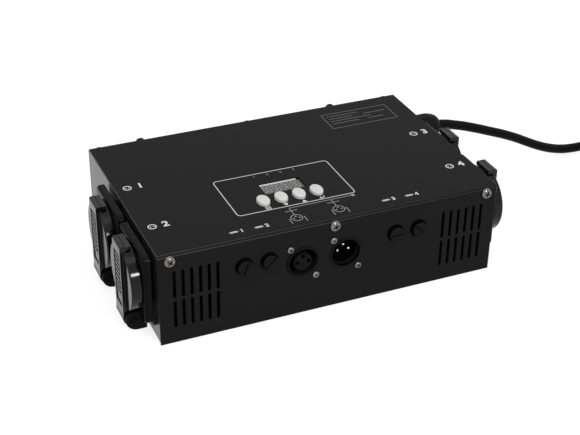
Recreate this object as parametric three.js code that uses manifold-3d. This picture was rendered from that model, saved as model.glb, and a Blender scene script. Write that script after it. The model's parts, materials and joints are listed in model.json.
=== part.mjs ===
// A four channel dimmer pack: a flat steel case with two lidded mains outlets on each side,
// a display and four keys on the top, signal sockets and fuses in the front, and a mains lead.
// Millimetres, +X right along the front, +Y to the rear, +Z up.
// The origin is the middle of the underside of the case.

import * as THREE from 'three';
import { mergeVertices } from 'three/addons/utils/BufferGeometryUtils.js';
import Module from 'manifold-3d';

const wasm = await Module();
wasm.setup();

// Numbers of flat faces on round shapes
const bigRoundSides = 22;
const midRoundSides = 12;
const smallRoundSides = 8;
const bendSteps = 2;

// Clearances that the pieces share
const seam = 0.2; // between faces that lie on each other
const fitGap = 0.3; // round a piece that is pushed in or turns
const overrun = 1; // how far a cutting tool reaches past what it cuts
const bite = 0.5; // how far fused features reach into each other

// Case: the cover is front, top and rear in one sheet, the tray is the floor and both side walls
const caseWidth = 250;
const caseDepth = 160;
const caseHeight = 70;
const sheet = 1.2;
const bendRadius = 2.5; // outside of a bend
const coverLift = 0.4; // lower edges of the cover above the ground

// Rails under the top that the cover screws go into
const railReach = 12.5;
const railDrop = 10;

// Cover screws, M4 pan heads
const screwRadius = 1.9;
const screwLength = 8;
const screwHeadRadius = 4;
const screwHeadHeight = 2.4;
const screwEdge = 8; // from the ends of the case
const screwDrop = 5; // from the top

// Vent slots beside the sockets
const slotColumns = 6;
const slotPitch = 6.03;
const slotEdge = 41; // innermost column from the end of the case
const slotWidth = 2.2;
const slotRowGap = 1.9;
const slotTopDrop = 13.25; // upper row below the top
const slotFoot = 12.25; // lower row above the ground

// Signal sockets, three pins, set in from behind
const femaleX = -23;
const maleX = 8.8;
const signalDrop = 28.4; // middle below the top
const signalRingRadius = 11.8;
const signalRingWall = 1.55;
const signalProud = 0.8;
const signalDepth = 24; // of the shell behind the front face
const signalFlangeWidth = 26;
const signalFlangeHeight = 31;
const signalFlangeThickness = 2;
const signalFlangeCorner = 2;
const signalScrewX = 9.5;
const signalScrewZ = 12;
const contactCircle = 4.2; // radius that the three contacts lie on
const signalPinRadius = 1.2;
const signalHoleRadius = 1.5;
const signalHoleDepth = 9;
const insertRadius = 6.65;
const insertFootThickness = 6;
const pinTipDepth = 4.7; // below the rim of the ring
const cupRadius = 1.1; // solder cups at the back
const cupLength = 5;

// Screws of the signal sockets, M3 pan heads
const smallScrewRadius = 1.4;
const smallScrewLength = 6;
const smallHeadRadius = 2.6;
const smallHeadHeight = 1.7;

// Panel fuses, left pair and right pair
const fuseLeftX = -56.7;
const fuseRightX = 55.3;
const fuseSpacing = 17.9;
const fuseDrop = 21; // middle below the top
const fuseBodyRadius = 5.6;
const fuseBodyDepth = 28; // behind the front face
const fuseRimRadius = 6.3;
const fuseRimThickness = 1.2;
const fuseNutAcross = 16;
const fuseNutThickness = 3;
const fuseBoreRadius = 4.8;
const fuseEndWall = 2;
const fuseTabWidth = 4.8;
const fuseTabThickness = 0.8;
const fuseTabLength = 6;
const capHeadRadius = 5.4;
const capHeadHeight = 2.5;
const capSlotWidth = 1.3;
const capSlotDepth = 1.2;
const capStemRadius = 4.3;
const capStemLength = 9;
const linkRadius = 2.6; // glass link, 20 long
const linkLength = 17;
const capSlotTurns = [70, 45, 0, -40]; // degrees that the slots stand at

// Keys in the top
const keyRowX = -15.85;
const keyRowInset = 39.6; // from the front face
const keyPitch = 13.3;
const keyWidth = 8.9;
const keyLength = 12.8; // from front to rear
const keyHeight = 2.8;
const keyRounding = 1.3;
const keyHoleGap = 0.25;
const keyFlangeReach = 0.6; // beyond the key
const keyFlangeThickness = 1;
const keyStemRadius = 2;
const keyTravel = 0.4;

// Display in its window
const windowX = -14.85;
const windowInset = 55.4; // middle from the front face
const windowWidth = 30.7;
const windowDepth = 14;
const displayRecess = 1;
const displayFrameDrop = 1.5; // step from the face down to the body
const displayBodyMargin = 1.4;

// Indicator lamps
const lampRowX = -13.7;
const lampRowInset = 70; // from the front face
const lampPitch = 10;
const lampRadius = 1.5;
const lampProud = 0.4;

// Control board under the top
const controlBoardX = -15;
const controlBoardInset = 51; // middle from the front face
const controlBoardWidth = 94;
const controlBoardDepth = 58;
const boardThickness = 1.6;
const controlBoardDrop = 10.9; // top of the board below the top of the case
const switchWidth = 6;
const switchHeight = 3.6;
const plungerRadius = 1.75;
const standoffRadius = 2.5;
const standoffInset = 4;
const chipWidth = 12;
const chipHeight = 3;
const headerWidth = 22;
const headerDepth = 6;
const headerHeight = 7;

// Power board on the floor
const powerBoardEnd = 39; // short of each end of the case
const powerBoardInset = 34; // front edge from the front face
const powerBoardSinkGap = 1; // rear edge to the heat sink
const powerBoardHeight = 8; // underside above the ground
const chokeRadius = 12;
const chokeHoleRadius = 5.5;
const chokeHeight = 11;
const chokeEnd = 29; // middle of the outer chokes from the ends of the board
const chokeInset = 28; // from the front edge of the board
const capacitorWidth = 18;
const capacitorDepth = 8;
const capacitorHeight = 15;
const capacitorBehind = 26; // from the middle of the chokes
const terminalStripWidth = 44;
const terminalStripDepth = 10;
const terminalStripHeight = 12;

// Heat sink along the rear with a triac for each channel
const sinkEnd = 57; // short of each end of the case
const sinkInset = 38; // front face of its wall from the rear face
const sinkDepth = 28;
const sinkHeight = 40;
const sinkWall = 3;
const finThickness = 1.5;
const finPitch = 6;
const finCount = 5;
const finReach = 14;
const triacWidth = 10;
const triacDepth = 4.5;
const triacHeight = 15;
const triacFoot = 16; // lower edge above the ground
const triacEnd = 9; // outer triacs from the ends of the sink
const triacLegPitch = 2.5;
const triacLegWidth = 0.8;

// Transformer in the left rear corner
const transformerEnd = 31; // middle from the left end of the case
const transformerInset = 22; // middle from the rear face
const coreWidth = 34;
const coreDepth = 16;
const coreHeight = 28;
const bobbinWidth = 22;
const bobbinDepth = 28;
const bobbinHeight = 18;
const bobbinCorner = 4;
const transformerFootWidth = 48;
const transformerFootThickness = 1.5;

// Mains outlets: distances out from the side wall are lengths along the outlet's axis
const outletDrop = 31.2; // middle below the top of the case
const outletRowShares = [0.0625, -0.284375]; // rear and front one, of the depth of the case
const flangeSpace = 3.5; // between the two flanges
const flangeThickness = 5.5;
const flangeCorner = 4;
const flangeEdge = 1.8; // chamfer all round
const gasketMargin = 2; // inside the edge of the flange
const gasketThickness = 2;
const collarPlay = 1.4; // to the inside of the lid
const collarHeight = 5.2;
const collarWall = 1.5;
const wellDepth = 17.5;
const bodyDepth = 24;
const plugPinSpacing = 19;
const plugHoleRadius = 2.6;
const plugHoleDepth = 12;
const guideWidth = 5;
const guideReach = 2.4;
const lugWidth = 10;
const lugReach = 1.8;
const lugLength = 3.5;
const terminalWidth = 5;
const terminalHeight = 8;
const terminalLength = 6;
const terminalDrop = 12; // earth terminal below the centre

// Hinge at the foot of each outlet
const hingeDrop = 3.7; // pin axis below the flange
const hingeOut = 4.1; // pin axis out from the flange
const pinRadius = 2.1;
const pinHoleGap = 0.2;
const pinEnd = 0.6; // beyond the cheeks
const knuckleRadius = 6;
const cheekThickness = 2.5;
const cheekReach = 8.5;
const cheekRise = 6.1;
const cheekSetback = 3.4; // centre of the cheek's round behind the pin axis
const webThickness = 1.8;

// Outlet lids
const lidMargin = 1.6; // inside the edge of the flange
const lidDepth = 7.1;
const lidWall = 1.8;
const lidFace = 2;
const lidRounding = 1.2;
const lidGap = 0.5; // above the flange
const bandWidth = 17;
const bandProud = 2.2;
const lipRise = 2.5; // top of the finger lip above the lid's rim
const lipHeight = 3;
const lipDepth = 7.8;
const panelWidth = 12; // recess in the band's face
const panelDepth = 0.7;
const panelFootRise = 3.6; // above the foot of the lid's rim
const panelTopDrop = 7.4; // below the top of the finger lip
const ribPitch = 3.6;
const ribCount = 9;
const ribWidth = 9;
const ribHeight = 1.8;
const ribProud = 0.5; // above the bottom of the recess
const ribFirst = -13.2; // lowest rib from the outlet's centre
const bandTaper = 1.4; // the band's corners at lip and foot

// Lid springs
const wireRadius = 0.45;
const springRadius = 3.3; // middle of the wire
const springTurns = 3.5;
const springPitch = 1.35;
const springSlotWidth = 6.8;
const springSlotRadius = 4.6;
const springSlotWall = 1.5;
const springSlotRise = 7.3;
const springLongLeg = 6.2;
const springShortLeg = 4.9;
const springSteps = 8;
const springSides = 5;

// Earth clips in the outlets
const clipWidth = 8;
const clipThickness = 0.7;
const clipHeight = 15;
const clipBulge = 1.7;
const clipBulgeShare = 0.8; // of the clip's height
const clipBendShare = 0.55; // of the clip's height
const clipEdgeGap = 0.7; // to the wall of the well, measured at the middle

// Cable gland, lead and plug
const glandRoom = 14; // middle behind the flange of the rear outlet
const glandDrop = 18.4; // middle below the top
const glandHexAcross = 23;
const glandHexThickness = 6;
const glandThreadRadius = 9.8;
const glandThreadInside = 9;
const glandNeckRadius = 8.9;
const glandNeckLength = 6;
const glandBoreRadius = 4.15;
const lockNutAcross = 25;
const lockNutThickness = 4.5;
const domeRadius = 11;
const domeStraight = 7.1;
const domeLength = 19.4;
const domeMouthRadius = 4.9;
const cordDiameter = 7.6;
const cordSides = 8;

// Route of the lead from the gland down to the ground, chosen by hand
const leadStart = 26; // from the side wall
const leadRun = 179;
const leadShares = [ // of the run and of the gland's height above the lying lead
  [0, 1], [0.0458, 0.9728], [0.0894, 0.9268], [0.1313, 0.8808], [0.1743, 0.8243], [0.2268, 0.751],
  [0.2816, 0.6695], [0.3363, 0.59], [0.3816, 0.5167], [0.4274, 0.4372], [0.4749, 0.3452],
  [0.5307, 0.2385], [0.5866, 0.1444], [0.6425, 0.0711], [0.6983, 0.023], [0.7542, 0.0031],
  [0.8156, 0], [1, 0],
];

// Coil of the rest of the lead, two layers spiralling in and out again
const coilLead = 8; // middle beyond the end of the free stretch
const coilOuterRadius = 53.5; // middle of the cord in the first turn
const coilTurnsPerLayer = 2.25;
const coilPitch = 8.15;
const coilSteps = 24;
const coilSides = 6;
const tailLength = 34; // from the last turn to the plug
const tailSteps = 6;

// Mains plug on the end, lying on its rim
const plugRimRadius = 19.2;
const plugRimThickness = 3;
const plugReliefRadius = 6;
const plugReliefLength = 12;
const plugShoulderRadius = 14.5;
const plugGripRadius = 17;
const plugGripLength = 15;
const plugNoseRadius = 18.3;
const plugNoseLength = 15;
const plugPinRadius = 2.4;
const plugPinLength = 19;
const plugFlatHalf = 13.5; // grip flats from the axis
const plugGrooveDepth = 3.2;

// Suspension studs through the rear panel, M8
const studEnd = 45.5; // from the ends of the case
const studDrop = 14; // below the top
const studRadius = 3.9;
const studReach = 23; // beyond the rear panel
const studHeadAcross = 13;
const studHeadThickness = 5.3;
const studNutThickness = 6.5;

// Places that follow from the sizes above
const halfWidth = caseWidth / 2;
const frontY = -caseDepth / 2;
const rearY = caseDepth / 2;
const innerFrontY = frontY + sheet;
const innerTopZ = caseHeight - sheet;
const innerWallX = halfWidth - sheet;
const innerBend = bendRadius - sheet;
const screwRowX = halfWidth - screwEdge;
const screwRowZ = caseHeight - screwDrop;
const slotInnermost = halfWidth - slotEdge;
const slotLength = (caseHeight - slotTopDrop - slotFoot - slotRowGap) / 2;
const slotMiddleHeight = (caseHeight - slotTopDrop + slotFoot) / 2;
const signalHeight = caseHeight - signalDrop;
const fuseHeight = caseHeight - fuseDrop;
const keyRowY = frontY + keyRowInset;
const keyRadius = keyWidth / 2;
const keyLengthening = keyLength / keyWidth;
const windowY = frontY + windowInset;
const lampRowY = frontY + lampRowInset;
const controlBoardY = frontY + controlBoardInset;
const controlBoardTop = caseHeight - controlBoardDrop;
const switchTop = innerTopZ - seam - fitGap - keyFlangeThickness - keyStemRadius - keyTravel;
const sinkY = rearY - sinkInset;
const triacPitch = (2 * (halfWidth - sinkEnd - triacEnd) - triacWidth) / 3;
const powerBoardTop = powerBoardHeight + boardThickness;
const chokePitch = 2 * (halfWidth - powerBoardEnd - chokeEnd) / 3;
const powerBoardFrontY = frontY + powerBoardInset;
const powerBoardRearY = sinkY - powerBoardSinkGap;
const chokeY = powerBoardFrontY + chokeInset;
const capacitorY = chokeY + capacitorBehind;
const transformerX = -halfWidth + transformerEnd;
const transformerY = rearY - transformerInset;
const studX = halfWidth - studEnd;
const studHeight = caseHeight - studDrop;
const outletHeight = caseHeight - outletDrop;
const [outletRearY, outletFrontY] = outletRowShares.map((share) => share * caseDepth);
const flangeWidth = outletRearY - outletFrontY - flangeSpace;
const lidRadius = flangeWidth / 2 - lidMargin;
const collarRadius = lidRadius - lidWall - collarPlay;
const wellRadius = collarRadius - collarWall;
const bodyRadius = collarRadius - seam;
const flangeFace = gasketThickness + flangeThickness;
const pinOut = flangeFace + hingeOut;
const pinZ = outletHeight - flangeWidth / 2 - hingeDrop;
const lidBack = flangeFace + lidGap;
const lidFront = lidBack + lidDepth;
const bandFront = lidFront + bandProud;
const wellFloor = flangeFace + collarHeight - wellDepth;
const cheekInner = bandWidth / 2 + fitGap;
const cheekOuter = cheekInner + cheekThickness;
const glandY = outletRearY + flangeWidth / 2 + glandRoom;
const glandZ = caseHeight - glandDrop;
const cordRadius = cordDiameter / 2;
const leadStartX = halfWidth + leadStart;
const leadEndX = leadStartX + leadRun;
const coilX = leadEndX + coilLead;
const coilInnerRadius = coilOuterRadius - coilTurnsPerLayer * coilPitch;

// Materials
function paint(color, roughness, metalness) {
  return new THREE.MeshStandardMaterial({ color, roughness, metalness });
}
const casePaint = paint(0x2c2c2e, 0.6, 0.2);
const zincPlate = paint(0x9fa2a4, 0.45, 0.9);
const blackSteel = paint(0x262628, 0.4, 0.5);
const nickelPlate = paint(0xc9c9c6, 0.3, 1);
const blackPlastic = paint(0x1a1a1b, 0.45, 0);
const keyPlastic = paint(0xe6e5e0, 0.5, 0);
const displayGlass = paint(0xa3a6a6, 0.3, 0);
const greenBoard = paint(0x2d5b3a, 0.6, 0);
const aluminium = paint(0xa8abad, 0.5, 0.9);
const coreSteel = paint(0x6a6c70, 0.5, 0.7);
const springSteel = paint(0x8d8f92, 0.35, 1);
const copperAlloy = paint(0xc7a24a, 0.35, 1);
const leadRubber = paint(0x151516, 0.65, 0);

// Closed meshes and solids: a geometry goes into the boolean library and comes back
function solidOf(geometry) {
  const bare = new THREE.BufferGeometry();
  bare.setAttribute('position', geometry.getAttribute('position'));
  bare.setIndex(geometry.index);
  const merged = mergeVertices(bare);
  const corners = merged.index.array;
  const kept = [];
  for (let i = 0; i < corners.length; i += 3) {
    const [a, b, c] = corners.slice(i, i + 3);
    if (a !== b && b !== c && c !== a) kept.push([a, b, c]);
  }
  const vertProperties = new Float32Array(merged.getAttribute('position').array);
  const made = (triangles) => {
    const triVerts = new Uint32Array(triangles.flat());
    return new wasm.Manifold(new wasm.Mesh({ numProp: 3, vertProperties, triVerts }));
  };
  const solid = made(kept);
  return solid.volume() > 0 ? solid : made(kept.map(([a, b, c]) => [c, b, a]));
}

function geometryOf(solid) {
  const { vertProperties, triVerts } = solid.getMesh();
  const geometry = new THREE.BufferGeometry();
  geometry.setAttribute('position', new THREE.BufferAttribute(vertProperties, 3));
  geometry.setIndex(new THREE.BufferAttribute(triVerts, 1));
  return geometry;
}

function join(...pieces) {
  return geometryOf(pieces.map(solidOf).reduce((all, piece) => all.add(piece)));
}

function cut(body, ...tools) {
  return geometryOf(tools.map(solidOf).reduce((rest, tool) => rest.subtract(tool), solidOf(body)));
}

function common(a, b) {
  return geometryOf(solidOf(a).intersect(solidOf(b)));
}

// Shapes of the workshop, each placed where it stands
function block(x0, x1, y0, y1, z0, z1) {
  const box = new THREE.BoxGeometry(x1 - x0, y1 - y0, z1 - z0);
  return box.translate((x0 + x1) / 2, (y0 + y1) / 2, (z0 + z1) / 2);
}

function rodX(radius, x0, x1, y, z, sides) {
  const rod = new THREE.CylinderGeometry(radius, radius, x1 - x0, sides);
  return rod.rotateZ(-Math.PI / 2).translate((x0 + x1) / 2, y, z);
}

function rodY(radius, y0, y1, x, z, sides) {
  const rod = new THREE.CylinderGeometry(radius, radius, y1 - y0, sides);
  return rod.translate(x, (y0 + y1) / 2, z);
}

function rodZ(radius, z0, z1, x, y, sides) {
  const rod = new THREE.CylinderGeometry(radius, radius, z1 - z0, sides);
  return rod.rotateX(Math.PI / 2).translate(x, y, (z0 + z1) / 2);
}

// A profile of [distance along the axis, radius] turned about the axis
function turned(profile, sides) {
  return new THREE.LatheGeometry(profile.map(([along, radius]) => new THREE.Vector2(radius, along)), sides);
}

function turnedX(profile, y, z, sides) {
  return turned(profile, sides).rotateZ(-Math.PI / 2).translate(0, y, z);
}

function turnedY(profile, x, z, sides) {
  return turned(profile, sides).translate(x, 0, z);
}

function turnedZ(profile, x, y, sides) {
  return turned(profile, sides).rotateX(Math.PI / 2).translate(x, y, 0);
}

// Quarter round of a turned profile, from [along0, radius0] to [along1, radius1]
function quarter(along0, radius0, along1, radius1, steps) {
  const points = [];
  for (let i = 0; i <= steps; i += 1) {
    const angle = (i / steps) * Math.PI / 2;
    points.push([
      along0 + (along1 - along0) * Math.sin(angle),
      radius1 + (radius0 - radius1) * Math.cos(angle),
    ]);
  }
  return points;
}

// Each arc of the shape gets the given number of steps
function extruded(shape, depth, steps) {
  return new THREE.ExtrudeGeometry(shape, { depth, bevelEnabled: false, curveSegments: steps / 2 });
}

// A shape drawn in y and z, or in x and z, drawn out along the third direction
function alongX(shape, x0, x1, steps) {
  const basis = new THREE.Matrix4().makeBasis(
    new THREE.Vector3(0, 1, 0), new THREE.Vector3(0, 0, 1), new THREE.Vector3(1, 0, 0));
  return extruded(shape, x1 - x0, steps).applyMatrix4(basis).translate(x0, 0, 0);
}

// The same with its edges chamfered at both ends
function chamferedAlongX(shape, x0, x1, edge, steps) {
  const basis = new THREE.Matrix4().makeBasis(
    new THREE.Vector3(0, 1, 0), new THREE.Vector3(0, 0, 1), new THREE.Vector3(1, 0, 0));
  const body = new THREE.ExtrudeGeometry(shape, {
    depth: x1 - x0 - 2 * edge,
    bevelThickness: edge,
    bevelSize: edge,
    bevelOffset: -edge,
    bevelSegments: 1,
    curveSegments: steps / 2,
  });
  return body.applyMatrix4(basis).translate(x0 + edge, 0, 0);
}

function alongY(shape, y0, y1, steps) {
  return extruded(shape, y1 - y0, steps).rotateX(Math.PI / 2).translate(0, y1, 0);
}

function outline(points) {
  return new THREE.Shape(points.map(([a, b]) => new THREE.Vector2(a, b)));
}

function roundedRectangle(middleA, middleB, width, height, radius) {
  const left = middleA - width / 2;
  const right = middleA + width / 2;
  const low = middleB - height / 2;
  const high = middleB + height / 2;
  const shape = new THREE.Shape();
  shape.moveTo(left + radius, low);
  shape.absarc(right - radius, low + radius, radius, -Math.PI / 2, 0, false);
  shape.absarc(right - radius, high - radius, radius, 0, Math.PI / 2, false);
  shape.absarc(left + radius, high - radius, radius, Math.PI / 2, Math.PI, false);
  shape.absarc(left + radius, low + radius, radius, Math.PI, Math.PI * 1.5, false);
  return shape;
}

function hexagon(middleA, middleB, across) {
  const corner = across / Math.sqrt(3);
  const points = [];
  for (let i = 0; i < 6; i += 1) {
    const angle = (i / 6) * Math.PI * 2;
    points.push([middleA + corner * Math.sin(angle), middleB + corner * Math.cos(angle)]);
  }
  return outline(points);
}

// A bent strip of even thickness: its middle line is offset to both sides
function strip(line, thickness) {
  const offset = (side) => line.map(([a, b], i) => {
    const before = line[Math.max(i - 1, 0)];
    const after = line[Math.min(i + 1, line.length - 1)];
    const into = new THREE.Vector2(a - before[0], b - before[1]).normalize();
    const out = new THREE.Vector2(after[0] - a, after[1] - b).normalize();
    const along = into.clone().add(out).normalize();
    const bend = Math.max(along.dot(into.lengthSq() > 0 ? into : out), 1 / 2);
    const reach = side * thickness / 2 / bend;
    return [a - along.y * reach, b + along.x * reach];
  });
  return outline([...offset(1), ...offset(-1).reverse()]);
}

// A round tube through points, its rings turned by a fixed direction beside the path
function tube(points, radius, sides, beside) {
  const positions = [];
  const index = [];
  points.forEach((point, i) => {
    const before = points[Math.max(i - 1, 0)];
    const after = points[Math.min(i + 1, points.length - 1)];
    const along = after.clone().sub(before).normalize();
    const across = new THREE.Vector3().crossVectors(along, beside).normalize();
    const upward = new THREE.Vector3().crossVectors(across, along);
    for (let j = 0; j < sides; j += 1) {
      const angle = ((j + 1 / 2) / sides) * Math.PI * 2;
      const corner = point.clone()
        .addScaledVector(across, radius * Math.cos(angle))
        .addScaledVector(upward, radius * Math.sin(angle));
      positions.push(corner.x, corner.y, corner.z);
    }
  });
  const last = (points.length - 1) * sides;
  for (let i = 0; i < last; i += sides) {
    for (let j = 0; j < sides; j += 1) {
      const next = (j + 1) % sides;
      index.push(i + j, i + sides + j, i + next);
      index.push(i + next, i + sides + j, i + sides + next);
    }
  }
  for (let j = 1; j < sides - 1; j += 1) {
    index.push(0, j, j + 1);
    index.push(last, last + j + 1, last + j);
  }
  const geometry = new THREE.BufferGeometry();
  geometry.setAttribute('position', new THREE.Float32BufferAttribute(positions, 3));
  geometry.setIndex(index);
  return geometryOf(solidOf(geometry));
}

// Least distance between stretches of a tube that lie more than its own near length apart
function leastGap(points, radius, nearLength) {
  const lengths = [0];
  for (let i = 1; i < points.length; i += 1) {
    lengths.push(lengths[i - 1] + points[i].distanceTo(points[i - 1]));
  }
  let least = Infinity;
  for (let i = 0; i < points.length; i += 1) {
    for (let j = 0; j < i; j += 1) {
      if (lengths[i] - lengths[j] > nearLength) least = Math.min(least, points[i].distanceTo(points[j]));
    }
  }
  return least - 2 * radius;
}

function curveLength(points) {
  return points.slice(1).reduce((sum, point, i) => sum + point.distanceTo(points[i]), 0);
}

const pack = new THREE.Group();

function add(name, geometry, material, parent = pack) {
  const shown = geometry.index ? geometry.toNonIndexed() : geometry;
  shown.deleteAttribute('uv');
  shown.computeVertexNormals();
  const mesh = new THREE.Mesh(shown, material);
  mesh.name = name;
  parent.add(mesh);
}

// A pan head screw, its head to -Y of the origin and its shank to +Y
function panScrew(shankRadius, length, headRadius, headHeight, x, y, z) {
  return turnedY([
    [-seam - headHeight, 0],
    [-seam - headHeight, headRadius / 2],
    [-seam - headHeight / 2, headRadius],
    [-seam, headRadius],
    [-seam, shankRadius],
    [length, shankRadius],
    [length, 0],
  ], x, z, smallRoundSides).translate(0, y, 0);
}

function fusePlaces() {
  const half = fuseSpacing / 2;
  return [fuseLeftX - half, fuseLeftX + half, fuseRightX - half, fuseRightX + half];
}

function rowPlaces(middle, pitch, count) {
  return Array.from({ length: count }, (_, i) => middle + (i - (count - 1) / 2) * pitch);
}

function screwPlaces() {
  return [-screwRowX, 0, screwRowX];
}

function signalScrewPlaces(x) {
  return [
    [x - signalScrewX, signalHeight + signalScrewZ],
    [x + signalScrewX, signalHeight - signalScrewZ],
  ];
}

// Cover: one sheet bent over front, top and rear, with every opening that shows
function coverShell() {
  const profile = new THREE.Shape();
  const bendY = rearY - bendRadius;
  const bendZ = caseHeight - bendRadius;
  profile.moveTo(-rearY, coverLift);
  profile.lineTo(-rearY + sheet, coverLift);
  profile.absarc(-bendY, bendZ, innerBend, Math.PI, Math.PI / 2, true);
  profile.absarc(bendY, bendZ, innerBend, Math.PI / 2, 0, true);
  profile.lineTo(rearY - sheet, coverLift);
  profile.lineTo(rearY, coverLift);
  profile.absarc(bendY, bendZ, bendRadius, 0, Math.PI / 2, false);
  profile.absarc(-bendY, bendZ, bendRadius, Math.PI / 2, Math.PI, false);
  const bent = alongX(profile, -halfWidth, halfWidth, bendSteps);

  const frontOut = frontY - overrun;
  const frontIn = innerFrontY + overrun;
  const rearIn = rearY - sheet - overrun;
  const rearOut = rearY + overrun;
  const topIn = innerTopZ - overrun;
  const topOut = caseHeight + overrun;
  const tools = [];
  for (const x of screwPlaces()) {
    tools.push(rodY(screwRadius + fitGap, frontOut, frontIn, x, screwRowZ, smallRoundSides));
    tools.push(rodY(screwRadius + fitGap, rearIn, rearOut, x, screwRowZ, smallRoundSides));
  }
  const rowOffset = (slotLength + slotRowGap) / 2;
  for (let column = 0; column < slotColumns; column += 1) {
    for (const z of [slotMiddleHeight - rowOffset, slotMiddleHeight + rowOffset]) {
      for (const x of [slotInnermost + column * slotPitch, -slotInnermost - column * slotPitch]) {
        const slot = roundedRectangle(x, z, slotWidth, slotLength, slotWidth / 2);
        tools.push(alongY(slot, frontOut, frontIn, 1));
      }
    }
  }
  for (const x of fusePlaces()) {
    tools.push(rodY(fuseBodyRadius + fitGap, frontOut, frontIn, x, fuseHeight, midRoundSides));
  }
  for (const x of [femaleX, maleX]) {
    tools.push(rodY(signalRingRadius + fitGap, frontOut, frontIn, x, signalHeight, bigRoundSides));
    for (const [screwX, screwZ] of signalScrewPlaces(x)) {
      tools.push(rodY(smallScrewRadius + fitGap, frontOut, frontIn, screwX, screwZ, smallRoundSides));
    }
  }
  for (const x of rowPlaces(keyRowX, keyPitch, 4)) {
    tools.push(rodZ(keyRadius + keyHoleGap, topIn, topOut, 0, 0, midRoundSides)
      .scale(1, keyLengthening, 1)
      .translate(x, keyRowY, 0));
  }
  for (const x of rowPlaces(lampRowX, lampPitch, 4)) {
    tools.push(rodZ(lampRadius + fitGap, topIn, topOut, x, lampRowY, smallRoundSides));
  }
  tools.push(block(
    windowX - windowWidth / 2, windowX + windowWidth / 2,
    windowY - windowDepth / 2, windowY + windowDepth / 2, topIn, topOut));
  for (const x of [-studX, studX]) {
    tools.push(rodY(studRadius + fitGap, rearIn, rearOut, x, studHeight, smallRoundSides));
  }
  return cut(bent, ...tools);
}

// Tray: floor and side walls, cut out for the outlets and the gland
function baseTray() {
  const profile = new THREE.Shape();
  const bendX = halfWidth - bendRadius;
  const wallTop = innerTopZ - seam;
  profile.moveTo(-halfWidth, wallTop);
  profile.absarc(-bendX, bendRadius, bendRadius, Math.PI, Math.PI * 1.5, false);
  profile.absarc(bendX, bendRadius, bendRadius, Math.PI * 1.5, Math.PI * 2, false);
  profile.lineTo(halfWidth, wallTop);
  profile.lineTo(innerWallX, wallTop);
  profile.absarc(bendX, bendRadius, innerBend, 0, -Math.PI / 2, true);
  profile.absarc(-bendX, bendRadius, innerBend, -Math.PI / 2, -Math.PI, true);
  profile.lineTo(-innerWallX, wallTop);
  const edgeY = rearY - sheet - seam;
  const bent = alongY(profile, -edgeY, edgeY, bendSteps);

  // the wall corners are rounded to lie inside the bends of the cover
  const corner = innerBend - seam;
  const side = new THREE.Shape();
  side.moveTo(-edgeY, -overrun);
  side.lineTo(edgeY, -overrun);
  side.absarc(edgeY - corner, wallTop - corner, corner, 0, Math.PI / 2, false);
  side.absarc(-edgeY + corner, wallTop - corner, corner, Math.PI / 2, Math.PI, false);
  const trimmed = common(bent, alongX(side, -halfWidth - overrun, halfWidth + overrun, bendSteps));

  const tools = [];
  const wallIn = innerWallX - overrun;
  const wallOut = halfWidth + overrun;
  for (const y of [outletFrontY, outletRearY]) {
    for (const [x0, x1] of [[wallIn, wallOut], [-wallOut, -wallIn]]) {
      tools.push(rodX(bodyRadius + bite, x0, x1, y, outletHeight, bigRoundSides));
    }
  }
  tools.push(rodX(glandThreadRadius + fitGap, wallIn, wallOut, glandY, glandZ, midRoundSides));
  return cut(trimmed, ...tools);
}

// Angle rail in the corner behind the top front edge
function rail() {
  const outerY = innerFrontY + seam;
  const topZ = innerTopZ - seam;
  const corner = innerBend - seam;
  const profile = new THREE.Shape();
  profile.moveTo(outerY, topZ - railDrop);
  profile.lineTo(outerY + sheet, topZ - railDrop);
  profile.lineTo(outerY + sheet, topZ - sheet);
  profile.lineTo(outerY + railReach, topZ - sheet);
  profile.lineTo(outerY + railReach, topZ);
  profile.absarc(outerY + corner, topZ - corner, corner, Math.PI / 2, Math.PI, false);
  return alongX(profile, -innerWallX + fitGap, innerWallX - fitGap, bendSteps);
}

function frontRail() {
  const tools = screwPlaces().map((x) => rodY(
    screwRadius + fitGap, innerFrontY - overrun, innerFrontY + railReach, x, screwRowZ, smallRoundSides));
  return cut(rail(), ...tools);
}

function rearRail() {
  const railAtRear = rail().rotateZ(Math.PI);
  const screws = screwPlaces().map((x) => panScrew(
    screwRadius, screwLength, screwHeadRadius, screwHeadHeight, x, frontY, screwRowZ).rotateZ(Math.PI));
  const notchRadius = studHeadAcross / Math.sqrt(3) + fitGap;
  const notches = [-studX, studX].map((x) => rodY(
    notchRadius, rearY - sheet - railReach, rearY, x, studHeight, midRoundSides));
  return join(cut(railAtRear, ...notches), ...screws);
}

add('cover_shell', coverShell(), casePaint);
add('base_tray', baseTray(), casePaint);
add('front_rail', frontRail(), zincPlate);
add('rear_rail', rearRail(), zincPlate);
['left', 'middle', 'right'].forEach((side, i) => {
  const screw = panScrew(screwRadius, screwLength, screwHeadRadius, screwHeadHeight,
    screwPlaces()[i], frontY, screwRowZ);
  add(`cover_screw_${side}`, screw, nickelPlate);
});

// Signal socket shell: a ring through the panel on a flange behind it
function signalShell(x) {
  const rimY = frontY - signalProud;
  const backY = frontY + signalDepth;
  const innerRadius = signalRingRadius - signalRingWall;
  const flangeY = innerFrontY + seam;
  const ring = turnedY([
    [rimY, innerRadius],
    [rimY, signalRingRadius],
    [backY, signalRingRadius],
    [backY, innerRadius],
    [rimY, innerRadius],
  ], x, signalHeight, bigRoundSides);
  const flange = cut(
    alongY(
      roundedRectangle(x, signalHeight, signalFlangeWidth, signalFlangeHeight, signalFlangeCorner),
      flangeY, flangeY + signalFlangeThickness, 2),
    rodY(signalRingRadius - bite, flangeY - overrun, flangeY + signalFlangeThickness + overrun,
      x, signalHeight, bigRoundSides),
    ...signalScrewPlaces(x).map(([screwX, screwZ]) => rodY(
      smallScrewRadius + fitGap, flangeY - overrun, flangeY + signalFlangeThickness + overrun,
      screwX, screwZ, smallRoundSides)),
  );
  return join(ring, flange);
}

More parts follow.
